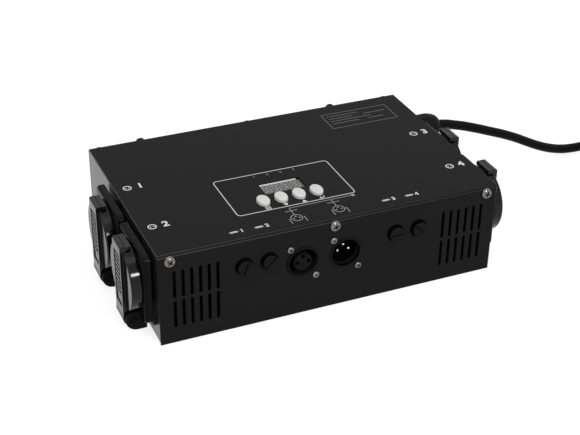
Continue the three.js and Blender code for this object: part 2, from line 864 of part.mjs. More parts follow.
// Three places on the contact circle: left, above and right of the middle
function contactPlaces(x) {
  return [0, 1, 2].map((i) => {
    const angle = (i - 1) * Math.PI / 2;
    return [x + contactCircle * Math.sin(angle), signalHeight + contactCircle * Math.cos(angle)];
  });
}

function insertFoot(x) {
  const backY = frontY + signalDepth;
  return rodY(signalRingRadius - signalRingWall - fitGap, backY - insertFootThickness, backY,
    x, signalHeight, midRoundSides);
}

function solderCups(x) {
  const backY = frontY + signalDepth;
  return contactPlaces(x).map(([cupX, cupZ]) => rodY(
    cupRadius, backY - bite, backY + cupLength, cupX, cupZ, smallRoundSides));
}

function femaleInsert() {
  const backY = frontY + signalDepth;
  const column = turnedY([
    [frontY, 0],
    [frontY, insertRadius],
    [backY - bite, insertRadius],
    [backY - bite, 0],
  ], femaleX, signalHeight, midRoundSides);
  const holes = contactPlaces(femaleX).map(([x, z]) => rodY(
    signalHoleRadius, frontY - overrun, frontY + signalHoleDepth, x, z, smallRoundSides));
  return cut(join(column, insertFoot(femaleX), ...solderCups(femaleX)), ...holes);
}

function malePins() {
  const tipY = frontY - signalProud + pinTipDepth;
  const rootY = frontY + signalDepth - insertFootThickness + bite;
  const pins = contactPlaces(maleX).map(([x, z]) => turnedY([
    [tipY, 0],
    [tipY, signalPinRadius / 2],
    [tipY + signalPinRadius, signalPinRadius],
    [rootY, signalPinRadius],
    [rootY, 0],
  ], x, z, smallRoundSides));
  return join(insertFoot(maleX), ...pins, ...solderCups(maleX));
}

add('xlr_female_shell', signalShell(femaleX), casePaint);
add('xlr_female_insert', femaleInsert(), blackPlastic);
add('xlr_male_shell', signalShell(maleX), casePaint);
add('xlr_male_pins', malePins(), copperAlloy);
[...signalScrewPlaces(femaleX), ...signalScrewPlaces(maleX)].forEach(([x, z], i) => {
  const screw = panScrew(smallScrewRadius, smallScrewLength, smallHeadRadius, smallHeadHeight,
    x, frontY, z);
  add(`xlr_screw_${i + 1}`, screw, nickelPlate);
});

// Fuse holder: rim in front of the panel, nut and body behind it
function fuseHolder(x) {
  const rimY = frontY - seam - fuseRimThickness;
  const backY = frontY + fuseBodyDepth;
  const nutY = innerFrontY + seam;
  const body = turnedY([
    [rimY, fuseBoreRadius],
    [rimY, fuseRimRadius],
    [frontY - seam, fuseRimRadius],
    [frontY - seam, fuseBodyRadius],
    [backY, fuseBodyRadius],
    [backY, 0],
    [backY - fuseEndWall, 0],
    [backY - fuseEndWall, fuseBoreRadius],
    [rimY, fuseBoreRadius],
  ], x, fuseHeight, midRoundSides);
  const nut = cut(
    alongY(hexagon(x, fuseHeight, fuseNutAcross), nutY, nutY + fuseNutThickness, 1),
    rodY(fuseBodyRadius - bite, nutY - overrun, nutY + fuseNutThickness + overrun,
      x, fuseHeight, midRoundSides),
  );
  const tab = block(x - fuseTabWidth / 2, x + fuseTabWidth / 2, backY - bite, backY + fuseTabLength,
    fuseHeight - fuseTabThickness / 2, fuseHeight + fuseTabThickness / 2);
  return join(body, nut, tab);
}

// Fuse cap with the glass link that it holds
function fuseCap(x, slotTurn) {
  const backY = frontY - seam - fuseRimThickness - fitGap;
  const faceY = backY - capHeadHeight;
  const stemY = backY + capStemLength;
  const body = turnedY([
    [faceY, 0],
    [faceY, capHeadRadius - bite],
    [faceY + bite, capHeadRadius],
    [backY, capHeadRadius],
    [backY, capStemRadius],
    [stemY, capStemRadius],
    [stemY, linkRadius],
    [stemY + linkLength, linkRadius],
    [stemY + linkLength, 0],
  ], 0, 0, midRoundSides);
  const slot = block(-capHeadRadius - overrun, capHeadRadius + overrun, faceY - overrun,
    faceY + capSlotDepth, -capSlotWidth / 2, capSlotWidth / 2);
  slot.rotateY(-slotTurn * Math.PI / 180);
  return cut(body, slot).translate(x, 0, fuseHeight);
}

fusePlaces().forEach((x, i) => {
  add(`fuse_holder_${i + 1}`, fuseHolder(x), blackPlastic);
  add(`fuse_cap_${i + 1}`, fuseCap(x, capSlotTurns[i]), blackPlastic);
});

// Key: oval button with a flange that holds it under the top, and a stem down to its switch
function key(x) {
  const top = caseHeight + keyHeight;
  const flangeTop = innerTopZ - fitGap;
  const flangeLow = flangeTop - keyFlangeThickness;
  const stemLow = switchTop + keyTravel + fitGap;
  const button = turnedZ([
    [flangeLow, 0],
    [flangeLow, keyRadius + keyFlangeReach],
    [flangeTop, keyRadius + keyFlangeReach],
    [flangeTop, keyRadius],
    ...quarter(top - keyRounding, keyRadius, top, keyRadius - keyRounding, bendSteps),
    [top, 0],
  ], 0, 0, midRoundSides).scale(1, keyLengthening, 1);
  const stem = rodZ(keyStemRadius, stemLow, flangeLow + bite, 0, 0, smallRoundSides);
  return join(button, stem).translate(x, keyRowY, 0);
}

const keyNames = ['key_menu', 'key_down', 'key_up', 'key_enter'];
rowPlaces(keyRowX, keyPitch, keyNames.length).forEach((x, i) => {
  add(keyNames[i], key(x), keyPlastic);
});

// Display: a face that stands in the window on a wider body on the control board
function displayModule() {
  const faceWidth = windowWidth - 2 * fitGap;
  const faceDepth = windowDepth - 2 * fitGap;
  const faceTop = caseHeight - displayRecess;
  const bodyTop = faceTop - displayFrameDrop;
  const low = controlBoardTop + seam;
  const face = block(windowX - faceWidth / 2, windowX + faceWidth / 2,
    windowY - faceDepth / 2, windowY + faceDepth / 2, low, faceTop);
  const halfX = faceWidth / 2 + displayBodyMargin;
  const halfY = faceDepth / 2 + displayBodyMargin;
  const body = block(windowX - halfX, windowX + halfX, windowY - halfY, windowY + halfY, low, bodyTop);
  return join(face, body);
}

// Control board: key switches, lamps, chip and cable header, on standoffs under the top
function controlBoard() {
  const low = controlBoardTop - boardThickness;
  const halfX = controlBoardWidth / 2;
  const halfY = controlBoardDepth / 2;
  const root = controlBoardTop - bite;
  const pieces = [block(controlBoardX - halfX, controlBoardX + halfX,
    controlBoardY - halfY, controlBoardY + halfY, low, controlBoardTop)];
  for (const x of rowPlaces(keyRowX, keyPitch, keyNames.length)) {
    pieces.push(block(x - switchWidth / 2, x + switchWidth / 2,
      keyRowY - switchWidth / 2, keyRowY + switchWidth / 2, root, controlBoardTop + switchHeight));
    pieces.push(rodZ(plungerRadius, root, switchTop, x, keyRowY, smallRoundSides));
  }
  const lampTop = caseHeight + lampProud;
  for (const x of rowPlaces(lampRowX, lampPitch, 4)) {
    pieces.push(turnedZ([
      [root, 0],
      [root, lampRadius],
      ...quarter(lampTop - lampRadius, lampRadius, lampTop, 0, bendSteps),
    ], x, lampRowY, smallRoundSides));
  }
  for (const x of [controlBoardX - halfX + standoffInset, controlBoardX + halfX - standoffInset]) {
    for (const y of [controlBoardY - halfY + standoffInset, controlBoardY + halfY - standoffInset]) {
      pieces.push(rodZ(standoffRadius, root, innerTopZ - seam, x, y, smallRoundSides));
    }
  }
  pieces.push(block(controlBoardX - chipWidth / 2, controlBoardX + chipWidth / 2,
    controlBoardY - chipWidth / 2, controlBoardY + chipWidth / 2, low - chipHeight, low + bite));
  pieces.push(block(controlBoardX - headerWidth / 2, controlBoardX + headerWidth / 2,
    controlBoardY + halfY - 2 * headerDepth, controlBoardY + halfY - headerDepth,
    low - headerHeight, low + bite));
  return join(...pieces);
}

// Power board: a choke and a capacitor for each channel, and terminal strips at both ends
function powerBoard() {
  const low = powerBoardHeight;
  const root = powerBoardTop - bite;
  const halfX = halfWidth - powerBoardEnd;
  const pieces = [block(-halfX, halfX, powerBoardFrontY, powerBoardRearY, low, powerBoardTop)];
  for (const x of rowPlaces(0, chokePitch, 4)) {
    pieces.push(turnedZ([
      [root, chokeHoleRadius],
      [root, chokeRadius],
      [powerBoardTop + chokeHeight, chokeRadius],
      [powerBoardTop + chokeHeight, chokeHoleRadius],
      [root, chokeHoleRadius],
    ], x, chokeY, smallRoundSides));
    pieces.push(block(x - capacitorWidth / 2, x + capacitorWidth / 2,
      capacitorY - capacitorDepth / 2, capacitorY + capacitorDepth / 2,
      root, powerBoardTop + capacitorHeight));
  }
  for (const side of [-1, 1]) {
    const outer = halfX - bite;
    const inner = outer - terminalStripDepth;
    const middleY = (powerBoardFrontY + powerBoardRearY) / 2;
    pieces.push(block(Math.min(side * inner, side * outer), Math.max(side * inner, side * outer),
      middleY - terminalStripWidth / 2, middleY + terminalStripWidth / 2,
      root, powerBoardTop + terminalStripHeight));
  }
  for (const x of [-halfX + standoffInset, halfX - standoffInset]) {
    for (const y of [powerBoardFrontY + standoffInset, powerBoardRearY - standoffInset]) {
      pieces.push(rodZ(standoffRadius, sheet + seam, low + bite, x, y, smallRoundSides));
    }
  }
  return join(...pieces);
}

// Heat sink: a foot, an upright wall with fins to the rear, and the triacs on its front
function heatSink() {
  const halfX = halfWidth - sinkEnd;
  const low = sheet + seam;
  const pieces = [
    block(-halfX, halfX, sinkY, sinkY + sinkDepth, low, low + sinkWall),
    block(-halfX, halfX, sinkY, sinkY + sinkWall, low, sinkHeight),
  ];
  for (let i = 0; i < finCount; i += 1) {
    const top = sinkHeight - i * finPitch;
    pieces.push(block(-halfX, halfX, sinkY, sinkY + sinkWall + finReach, top - finThickness, top));
  }
  for (const x of rowPlaces(0, triacPitch, 4)) {
    pieces.push(block(x - triacWidth / 2, x + triacWidth / 2, sinkY - triacDepth, sinkY + bite,
      triacFoot, triacFoot + triacHeight));
    for (const legX of rowPlaces(x, triacLegPitch, 3)) {
      pieces.push(block(legX - triacLegWidth / 2, legX + triacLegWidth / 2,
        sinkY - triacDepth / 2 - triacLegWidth / 2, sinkY - triacDepth / 2 + triacLegWidth / 2,
        powerBoardTop + fitGap, triacFoot + bite));
    }
  }
  return join(...pieces);
}

function transformer() {
  const low = sheet + seam;
  const coreLow = low + transformerFootThickness - bite;
  const middleZ = coreLow + coreHeight / 2;
  return join(
    block(transformerX - transformerFootWidth / 2, transformerX + transformerFootWidth / 2,
      transformerY - coreDepth / 2, transformerY + coreDepth / 2, low, low + transformerFootThickness),
    block(transformerX - coreWidth / 2, transformerX + coreWidth / 2,
      transformerY - coreDepth / 2, transformerY + coreDepth / 2, coreLow, coreLow + coreHeight),
    alongY(roundedRectangle(transformerX, middleZ, bobbinWidth, bobbinHeight, bobbinCorner),
      transformerY - bobbinDepth / 2, transformerY + bobbinDepth / 2, 2),
  );
}

add('display_module', displayModule(), displayGlass);
add('control_board', controlBoard(), greenBoard);
add('power_board', powerBoard(), greenBoard);
add('heat_sink', heatSink(), aluminium);
add('transformer', transformer(), coreSteel);

// Outlet housing, drawn with +X out of the side wall, which is the plane x = 0
function hingeCheek(y0, y1) {
  const roundOut = pinOut - cheekSetback;
  const shape = new THREE.Shape();
  shape.moveTo(gasketThickness, pinZ - cheekReach);
  shape.absellipse(roundOut, pinZ, cheekReach, cheekReach, -Math.PI / 2, 0, false);
  shape.absellipse(roundOut, pinZ, cheekReach, cheekRise, 0, Math.PI / 2, false);
  shape.lineTo(gasketThickness, pinZ + cheekRise);
  return alongY(shape, y0, y1, bendSteps + 1);
}

function outletHousing() {
  const collarTop = flangeFace + collarHeight;
  const turnedBody = turnedX([
    [-bodyDepth, 0],
    [-bodyDepth, bodyRadius],
    [gasketThickness, bodyRadius],
    [gasketThickness, collarRadius],
    [collarTop, collarRadius],
    [collarTop, wellRadius],
    [wellFloor, wellRadius],
    [wellFloor, 0],
  ], 0, outletHeight, bigRoundSides);
  const gasketWidth = flangeWidth - 2 * gasketMargin;
  const plateCut = rodX(collarRadius - bite, -overrun, flangeFace + overrun,
    0, outletHeight, bigRoundSides);
  const plates = cut(
    join(
      alongX(roundedRectangle(0, outletHeight, gasketWidth, gasketWidth, flangeCorner / 2),
        seam, gasketThickness + bite, 2),
      chamferedAlongX(roundedRectangle(0, outletHeight, flangeWidth, flangeWidth, flangeCorner),
        gasketThickness, flangeFace, flangeEdge, bendSteps),
    ),
    plateCut,
  );
  const lugOut = -sheet - fitGap;
  const lugEnd = bodyRadius + lugReach;
  const lugs = [
    block(lugOut - lugLength, lugOut, -lugWidth / 2, lugWidth / 2,
      outletHeight + wellRadius + bite, outletHeight + lugEnd),
    block(lugOut - lugLength, lugOut, -lugWidth / 2, lugWidth / 2,
      outletHeight - lugEnd, outletHeight - wellRadius - bite),
  ];
  const guides = [1, -1].map((side) => {
    const near = side * (wellRadius - guideReach);
    const far = side * (wellRadius + bite);
    return block(wellFloor - bite, collarTop - bite, Math.min(near, far), Math.max(near, far),
      outletHeight - guideWidth / 2, outletHeight + guideWidth / 2);
  });
  const terminals = [
    [plugPinSpacing / 2, 0],
    [-plugPinSpacing / 2, 0],
    [0, -terminalDrop],
  ].map(([y, z]) => block(-bodyDepth - terminalLength, -bodyDepth + bite,
    y - terminalWidth / 2, y + terminalWidth / 2,
    outletHeight + z - terminalHeight / 2, outletHeight + z + terminalHeight / 2));
  const cheeks = [
    hingeCheek(cheekInner, cheekOuter),
    hingeCheek(-cheekOuter, -cheekInner),
  ];
  const web = block(gasketThickness, gasketThickness + webThickness, -cheekInner - bite, cheekInner + bite,
    pinZ - cheekReach, outletHeight - flangeWidth / 2 + bite);
  const contactHoles = [1, -1].map((side) => rodX(
    plugHoleRadius, wellFloor - plugHoleDepth, wellFloor + overrun,
    side * plugPinSpacing / 2, outletHeight, smallRoundSides));
  const pinHole = rodY(pinRadius + pinHoleGap, -cheekOuter - overrun, cheekOuter + overrun,
    pinOut, pinZ, smallRoundSides);
  const knuckleRoom = rodY(knuckleRadius + fitGap, -cheekInner, cheekInner, pinOut, pinZ, midRoundSides);
  return cut(
    join(turnedBody, plates, ...lugs, ...guides, ...terminals, ...cheeks, web),
    ...contactHoles, pinHole, knuckleRoom,
  );
}

// Lid: a shallow cap with a raised band that runs from the finger lip down to the knuckle
function outletLid() {
  const rimInner = lidRadius - lidWall;
  const roundFrom = lidFront - lidRounding;
  const cap = turnedX([
    [lidFront - lidFace, 0],
    [lidFront - lidFace, rimInner],
    [lidBack, rimInner],
    [lidBack, lidRadius],
    ...quarter(roundFrom, lidRadius, lidFront, lidRadius - lidRounding, bendSteps),
    [lidFront, 0],
  ], 0, outletHeight, bigRoundSides);
  const halfBand = bandWidth / 2;
  const lipTop = outletHeight + lidRadius + lipRise;
  const band = new THREE.Shape();
  band.moveTo(lidFront - lidFace + bite, pinZ);
  band.lineTo(bandFront, pinZ);
  band.lineTo(bandFront, lipTop - bandTaper);
  band.lineTo(bandFront - bandTaper, lipTop);
  band.lineTo(bandFront - lipDepth, lipTop);
  band.lineTo(bandFront - lipDepth, lipTop - lipHeight);
  band.lineTo(lidFront - lidFace + bite, lipTop - lipHeight);
  const knuckle = rodY(knuckleRadius, -halfBand, halfBand, pinOut, pinZ, midRoundSides);
  const arm = block(pinOut, bandFront, -halfBand, halfBand, pinZ, outletHeight - rimInner + bite);
  const body = join(cap, alongY(band, -halfBand, halfBand, 1), knuckle, arm);

  const tools = [rodY(pinRadius + pinHoleGap, -halfBand - overrun, halfBand + overrun,
    pinOut, pinZ, smallRoundSides)];
  const halfSlot = springSlotWidth / 2;
  tools.push(rodY(springSlotRadius, -halfSlot, halfSlot, pinOut, pinZ, smallRoundSides));
  tools.push(block(pinOut - knuckleRadius - overrun, bandFront - springSlotWall, -halfSlot, halfSlot,
    pinZ, pinZ + springSlotRise));
  const panelFloor = bandFront - panelDepth;
  tools.push(block(panelFloor, bandFront + overrun, -panelWidth / 2, panelWidth / 2,
    outletHeight - lidRadius + panelFootRise, lipTop - panelTopDrop));
  const ribs = [];
  for (let i = 0; i < ribCount; i += 1) {
    const z = outletHeight + ribFirst + i * ribPitch;
    ribs.push(block(panelFloor - bite, panelFloor + ribProud, -ribWidth / 2, ribWidth / 2,
      z - ribHeight / 2, z + ribHeight / 2));
  }
  return join(cut(body, ...tools), ...ribs);
}

// Torsion spring round the pin: one leg lies on the flange, the other presses on the lid's arm
function springLine() {
  const points = [];
  const turns = springTurns;
  const steps = Math.round(turns * springSteps);
  const halfLength = turns * springPitch / 2;
  points.push(new THREE.Vector3(pinOut - springRadius, -halfLength, pinZ + springLongLeg));
  points.push(new THREE.Vector3(pinOut - springRadius, -halfLength, pinZ + springRadius));
  for (let i = 0; i <= steps; i += 1) {
    const angle = Math.PI + (i / springSteps) * Math.PI * 2;
    points.push(new THREE.Vector3(
      pinOut + springRadius * Math.cos(angle),
      -halfLength + (i / steps) * 2 * halfLength,
      pinZ + springRadius * Math.sin(angle),
    ));
  }
  points.push(new THREE.Vector3(pinOut + springRadius, halfLength, pinZ + springRadius));
  points.push(new THREE.Vector3(pinOut + springRadius, halfLength, pinZ + springShortLeg));
  return points;
}

function lidSpring() {
  const line = springLine();
  const gap = leastGap(line, wireRadius, 2 * Math.PI * springRadius * 3 / 4);
  console.log(`lid spring: least gap to itself ${gap.toFixed(2)} mm`);
  return tube(line, wireRadius, springSides, new THREE.Vector3(0, 1, 0));
}

function hingePin() {
  const end = cheekOuter + pinEnd;
  return turnedY([
    [-end, 0],
    ...quarter(-end, pinRadius - pinEnd / 2, -end + pinEnd / 2, pinRadius, 1),
    ...quarter(end - pinEnd / 2, pinRadius, end, pinRadius - pinEnd / 2, 1),
    [end, 0],
  ], pinOut, pinZ, smallRoundSides);
}

// Earth clip: one strip over the floor of the well, with sprung uprights above and below
function earthClip() {
  const floorOut = wellFloor + fitGap + clipThickness / 2;
  const half = wellRadius - clipEdgeGap - clipThickness / 2;
  const endOut = floorOut + clipHeight;
  const upright = (side) => [
    [endOut, side * (half - clipThickness)],
    [floorOut + clipHeight * clipBulgeShare, side * (half - clipBulge)],
    [floorOut + clipHeight * clipBendShare, side * half],
    [floorOut, side * half],
  ];
  const line = [...upright(1), ...upright(-1).reverse()];
  return alongY(strip(line, clipThickness), -clipWidth / 2, clipWidth / 2, 1).translate(0, 0, outletHeight);
}

const outletSpots = [
  [-halfWidth, outletRearY, Math.PI],
  [-halfWidth, outletFrontY, Math.PI],
  [halfWidth, outletRearY, 0],
  [halfWidth, outletFrontY, 0],
];
outletSpots.forEach(([x, y, turn], i) => {
  const outlet = new THREE.Group();
  outlet.position.set(x, y, 0);
  outlet.rotation.z = turn;
  add(`outlet_housing_${i + 1}`, outletHousing(), blackPlastic, outlet);
  add(`outlet_lid_${i + 1}`, outletLid(), blackPlastic, outlet);
  add(`hinge_pin_${i + 1}`, hingePin(), blackPlastic, outlet);
  add(`lid_spring_${i + 1}`, lidSpring(), springSteel, outlet);
  add(`earth_clip_${i + 1}`, earthClip(), nickelPlate, outlet);
  pack.add(outlet);
});

// Cable gland, drawn with the side wall as the plane x = 0
function glandBody() {
  const neckEnd = seam + glandHexThickness + glandNeckLength;
  const hex = alongX(hexagon(glandY, glandZ, glandHexAcross), seam, seam + glandHexThickness, 1);
  const thread = turnedX([
    [-glandThreadInside, glandBoreRadius],
    [-glandThreadInside, glandThreadRadius],
    [seam + bite, glandThreadRadius],
    [seam + bite, glandNeckRadius],
    [neckEnd, glandNeckRadius],
    [neckEnd, glandBoreRadius],
    [-glandThreadInside, glandBoreRadius],
  ], glandY, glandZ, midRoundSides);
  const bore = rodX(glandBoreRadius, -glandThreadInside - overrun, neckEnd + overrun,
    glandY, glandZ, midRoundSides);
  return cut(join(hex, thread), bore);
}

function glandNut() {
  const back = seam + glandHexThickness + fitGap;
  const inside = seam + glandHexThickness + glandNeckLength + fitGap;
  const boreRadius = glandNeckRadius + fitGap;
  const end = back + domeLength;
  const dome = turnedX([
    [back, boreRadius],
    [back, domeRadius - bite],
    ...quarter(back + domeStraight, domeRadius - bite, end, domeMouthRadius, bendSteps + 1),
    [end, glandBoreRadius],
    [inside, glandBoreRadius],
    [inside, boreRadius],
    [back, boreRadius],
  ], glandY, glandZ, midRoundSides);
  const hex = cut(
    alongX(hexagon(glandY, glandZ, 2 * domeRadius), back, back + domeStraight, 1),
    rodX(boreRadius + bite, back - overrun, back + domeStraight + overrun, glandY, glandZ, midRoundSides),
  );
  return join(dome, hex);
}

function glandLockNut() {
  const outer = -sheet - seam;
  return cut(
    alongX(hexagon(glandY, glandZ, lockNutAcross), outer - lockNutThickness, outer, 1),
    rodX(glandThreadRadius + fitGap, outer - lockNutThickness - overrun, outer + overrun,
      glandY, glandZ, midRoundSides),
  );
}

const gland = new THREE.Group();
gland.position.x = halfWidth;
add('gland_body', glandBody(), blackPlastic, gland);
add('gland_nut', glandNut(), blackPlastic, gland);
add('gland_locknut', glandLockNut(), blackPlastic, gland);
pack.add(gland);

// The free stretch of the lead, from just outside the gland to the coil
function freeLead() {
  const drop = glandZ - cordRadius;
  const places = leadShares.map(([along, height]) => new THREE.Vector3(
    leadStartX + along * leadRun, glandY, cordRadius + height * drop));
  const route = new THREE.CatmullRomCurve3(places, false, 'centripetal');
  const section = new THREE.Shape();
  section.absarc(0, 0, cordRadius, 0, Math.PI * 2, false);
  console.log(`free lead: ${route.getLength().toFixed(0)} mm`);
  return new THREE.ExtrudeGeometry(section, {
    steps: Math.round(route.getLength() / (2 * cordDiameter)),
    curveSegments: cordSides / 2,
    extrudePath: route,
  });
}

// The coil: it spirals in on the ground, climbs where it turns back, and spirals out on top
function coilLine() {
  const points = [];
  const coilY = glandY - coilOuterRadius;
  const steps = Math.round(2 * coilTurnsPerLayer * coilSteps);
  points.push(new THREE.Vector3(leadEndX + fitGap, glandY, cordRadius));
  for (let i = 0; i <= steps; i += 1) {
    const turns = i / coilSteps - coilTurnsPerLayer; // zero where the spiral turns back
    const radius = coilInnerRadius + Math.abs(turns) * coilPitch;
    const climb = THREE.MathUtils.clamp(turns * 2 + 1 / 2, 0, 1);
    const angle = Math.PI / 2 - (i / coilSteps) * Math.PI * 2;
    points.push(new THREE.Vector3(
      coilX + radius * Math.cos(angle),
      coilY + radius * Math.sin(angle),
      cordRadius + climb * coilPitch,
    ));
  }
  const last = points[points.length - 1];
  const plugRearX = last.x - tailLength;
  for (let i = 1; i <= tailSteps; i += 1) {
    const share = i / tailSteps;
    const rise = THREE.MathUtils.smoothstep(share, 0, 1 - 1 / tailSteps);
    points.push(new THREE.Vector3(
      THREE.MathUtils.lerp(last.x, plugRearX, share),
      last.y,
      THREE.MathUtils.lerp(last.z, plugRimRadius, rise),
    ));
  }
  return points;
}

const coilPoints = coilLine();
const coilGap = leastGap(coilPoints, cordRadius, 2 * Math.PI * coilInnerRadius * 3 / 4);
console.log(`cord coil: ${curveLength(coilPoints).toFixed(0)} mm`);
console.log(`cord coil: least gap to itself ${coilGap.toFixed(2)} mm`);

// Plug, drawn from its cable end towards its pins along -X
function mainsPlug() {
  const end = coilPoints[coilPoints.length - 1];
  const rear = fitGap;
  const gripFrom = rear + plugReliefLength;
  const gripTo = gripFrom + plugGripLength;
  const rimTo = gripTo + plugRimThickness;
  const noseTo = rimTo + plugNoseLength;
  const body = turnedX([
    [rear, 0],
    [rear, plugReliefRadius - bite],
    [gripFrom, plugReliefRadius],
    [gripFrom, plugShoulderRadius - bendRadius],
    [gripFrom + bendRadius, plugShoulderRadius],
    [gripTo, plugGripRadius],
    [gripTo, plugRimRadius],
    [rimTo, plugRimRadius],
    [rimTo, plugNoseRadius],
    [noseTo, plugNoseRadius],
    [noseTo, 0],
  ], 0, 0, midRoundSides);
  const flats = [1, -1].map((side) => {
    const near = side * plugFlatHalf;
    const far = side * (plugRimRadius + overrun);
    return block(gripFrom - overrun, gripTo, -plugRimRadius, plugRimRadius,
      Math.min(near, far), Math.max(near, far));
  });
  const grooves = [1, -1].map((side) => {
    const near = side * (plugNoseRadius - plugGrooveDepth);
    const far = side * (plugRimRadius + overrun);
    return block(rimTo, noseTo + overrun, Math.min(near, far), Math.max(near, far),
      -guideWidth / 2 - fitGap, guideWidth / 2 + fitGap);
  });
  const pins = [1, -1].map((side) => turnedX([
    [noseTo - bite, 0],
    [noseTo - bite, plugPinRadius],
    ...quarter(noseTo + plugPinLength - plugPinRadius, plugPinRadius, noseTo + plugPinLength, 0, bendSteps),
  ], side * plugPinSpacing / 2, 0, smallRoundSides));
  return join(cut(body, ...flats, ...grooves), ...pins)
    .rotateZ(Math.PI)
    .translate(end.x, end.y, end.z);
}

add('power_cord', freeLead(), leadRubber);
add('cord_coil', tube(coilPoints, cordRadius, coilSides, new THREE.Vector3(0, 0, 1)), leadRubber);
add('mains_plug', mainsPlug(), blackPlastic);

// Suspension stud: hex head inside, nut outside, domed tip
function suspensionStud(x) {
  const headOuter = rearY - sheet - seam;
  const nutInner = rearY + seam;
  const tip = rearY + studReach;
  const shank = turnedY([
    [headOuter - bite, 0],
    [headOuter - bite, studRadius],
    ...quarter(tip - studRadius / 2, studRadius, tip, studRadius / 3, bendSteps),
    [tip, 0],
  ], x, studHeight, smallRoundSides);
  return join(
    shank,
    alongY(hexagon(x, studHeight, studHeadAcross), headOuter - studHeadThickness, headOuter, 1),
    alongY(hexagon(x, studHeight, studHeadAcross), nutInner, nutInner + studNutThickness, 1),
  );
}

add('suspension_stud_left', suspensionStud(-studX), blackSteel);
add('suspension_stud_right', suspensionStud(studX), blackSteel);

export default pack;
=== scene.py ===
import json
import math

import bmesh
import bpy
from mathutils import Matrix, Quaternion, Vector


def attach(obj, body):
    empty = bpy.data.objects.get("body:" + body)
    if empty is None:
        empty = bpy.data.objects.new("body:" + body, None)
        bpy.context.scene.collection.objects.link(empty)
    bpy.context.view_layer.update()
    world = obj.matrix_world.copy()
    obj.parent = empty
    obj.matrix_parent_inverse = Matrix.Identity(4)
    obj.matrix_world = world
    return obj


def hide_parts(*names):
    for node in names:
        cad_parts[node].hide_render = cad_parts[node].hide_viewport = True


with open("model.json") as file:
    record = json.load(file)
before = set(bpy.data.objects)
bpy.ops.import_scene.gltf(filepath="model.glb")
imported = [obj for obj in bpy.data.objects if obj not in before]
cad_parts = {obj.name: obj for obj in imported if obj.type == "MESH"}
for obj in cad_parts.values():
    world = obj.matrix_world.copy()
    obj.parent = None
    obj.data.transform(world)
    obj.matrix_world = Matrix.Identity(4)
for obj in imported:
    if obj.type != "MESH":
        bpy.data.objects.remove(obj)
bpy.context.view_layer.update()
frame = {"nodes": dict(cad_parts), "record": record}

nodes = frame["nodes"]
print("frame loaded:", len(nodes), "nodes")


def linked(name, data):
    made = bpy.data.objects.new(name, data)
    bpy.context.scene.collection.objects.link(made)
    return made


# Camera, as measured from the edges of the case
cameraSettings = {
    "place": (-0.3246, -0.7422, 0.5122),
    "azimuth": 23.76,  # degrees round the object, 0 looks along +Y
    "elevation": 30.92,  # degrees above the ground
    "roll": 0.84,  # degrees
    "lens": 79.75,  # mm on a sensor 36 mm wide
}


def makeCamera(s):
    data = bpy.data.cameras.new("camera")
    data.lens = s["lens"]
    data.sensor_width = 36
    data.sensor_fit = "HORIZONTAL"
    data.clip_start = 0.01
    camera = linked("camera", data)
    around, down = math.radians(s["azimuth"]), math.radians(s["elevation"])
    look = Vector((math.sin(around) * math.cos(down), math.cos(around) * math.cos(down), -math.sin(down)))
    roll = Quaternion((0, 0, 1), math.radians(s["roll"]))
    camera.rotation_mode = "QUATERNION"
    camera.rotation_quaternion = look.to_track_quat("-Z", "Y") @ roll
    camera.location = s["place"]
    bpy.context.scene.camera = camera


makeCamera(cameraSettings)
print("camera set")


def mathOperator(operation, swapped=False):
    def act(wire, other):
        first, second = (other, wire) if swapped else (wire, other)
        return wire.recipe.node("ShaderNodeMath", {"operation": operation}, {0: first, 1: second})
    return act


# A shader socket: the usual operators join it to others and to numbers by Math nodes
class Wire:
    def __init__(self, recipe, socket):
        self.recipe = recipe
        self.socket = socket

    __add__, __radd__ = mathOperator("ADD"), mathOperator("ADD", True)
    __mul__, __rmul__ = mathOperator("MULTIPLY"), mathOperator("MULTIPLY", True)
    __gt__, __lt__ = mathOperator("GREATER_THAN"), mathOperator("LESS_THAN")

    def clamped(self):
        return self.recipe.node("ShaderNodeClamp", {}, {"Value": self})


# The nodes of one material, or of the world
class Recipe:
    def __init__(self, block, shader="Principled BSDF"):
        block.use_nodes = True
        self.block = block
        self.tree = block.node_tree
        self.shader = self.tree.nodes[shader]

    def fill(self, inputs, values):
        for key, value in values.items():
            if isinstance(value, Wire):
                self.tree.links.new(value.socket, inputs[key])
            else:
                inputs[key].default_value = value

    def give(self, key, value):
        self.fill(self.shader.inputs, {key: value})

    def node(self, kind, settings, sockets, out=0):
        made = self.tree.nodes.new(kind)
        for key, value in settings.items():
            setattr(made, key, value)
        self.fill(made.inputs, sockets)
        return Wire(self, made.outputs[out])

    def coords(self):
        return self.node("ShaderNodeTexCoord", {}, {}, "Object")

    def noise(self, scale, detail=3.0, roughness=0.5):
        return self.node("ShaderNodeTexNoise", {}, {
            "Vector": self.coords(), "Scale": scale, "Detail": detail, "Roughness": roughness})

    def span(self, value, low, high, outLow=0.0, outHigh=1.0):
        return self.node("ShaderNodeMapRange", {}, {
            "Value": value, "From Min": low, "From Max": high, "To Min": outLow, "To Max": outHigh})

    def blendColor(self, share, first, second):
        return self.node("ShaderNodeMix", {"data_type": "RGBA"}, {0: share, 6: first, 7: second}, 2)

    def axis(self, letter):
        return self.node("ShaderNodeSeparateXYZ", {}, {"Vector": self.coords()}, letter)

    def bump(self, height, strength, distance=0.0002):
        self.give("Normal", self.node("ShaderNodeBump", {}, {
            "Height": height, "Strength": strength, "Distance": distance}))

    def edges(self, low=0.515, high=0.56):
        return self.span(self.node("ShaderNodeNewGeometry", {}, {}, "Pointiness"), low, high)

    def seen(self):
        # 1 for what the camera, a gloss or a clear material looks at
        camera, gloss, clear = (self.node("ShaderNodeLightPath", {}, {}, f"Is {ray} Ray")
                                for ray in ("Camera", "Glossy", "Transmission"))
        return (camera + gloss + clear).clamped()


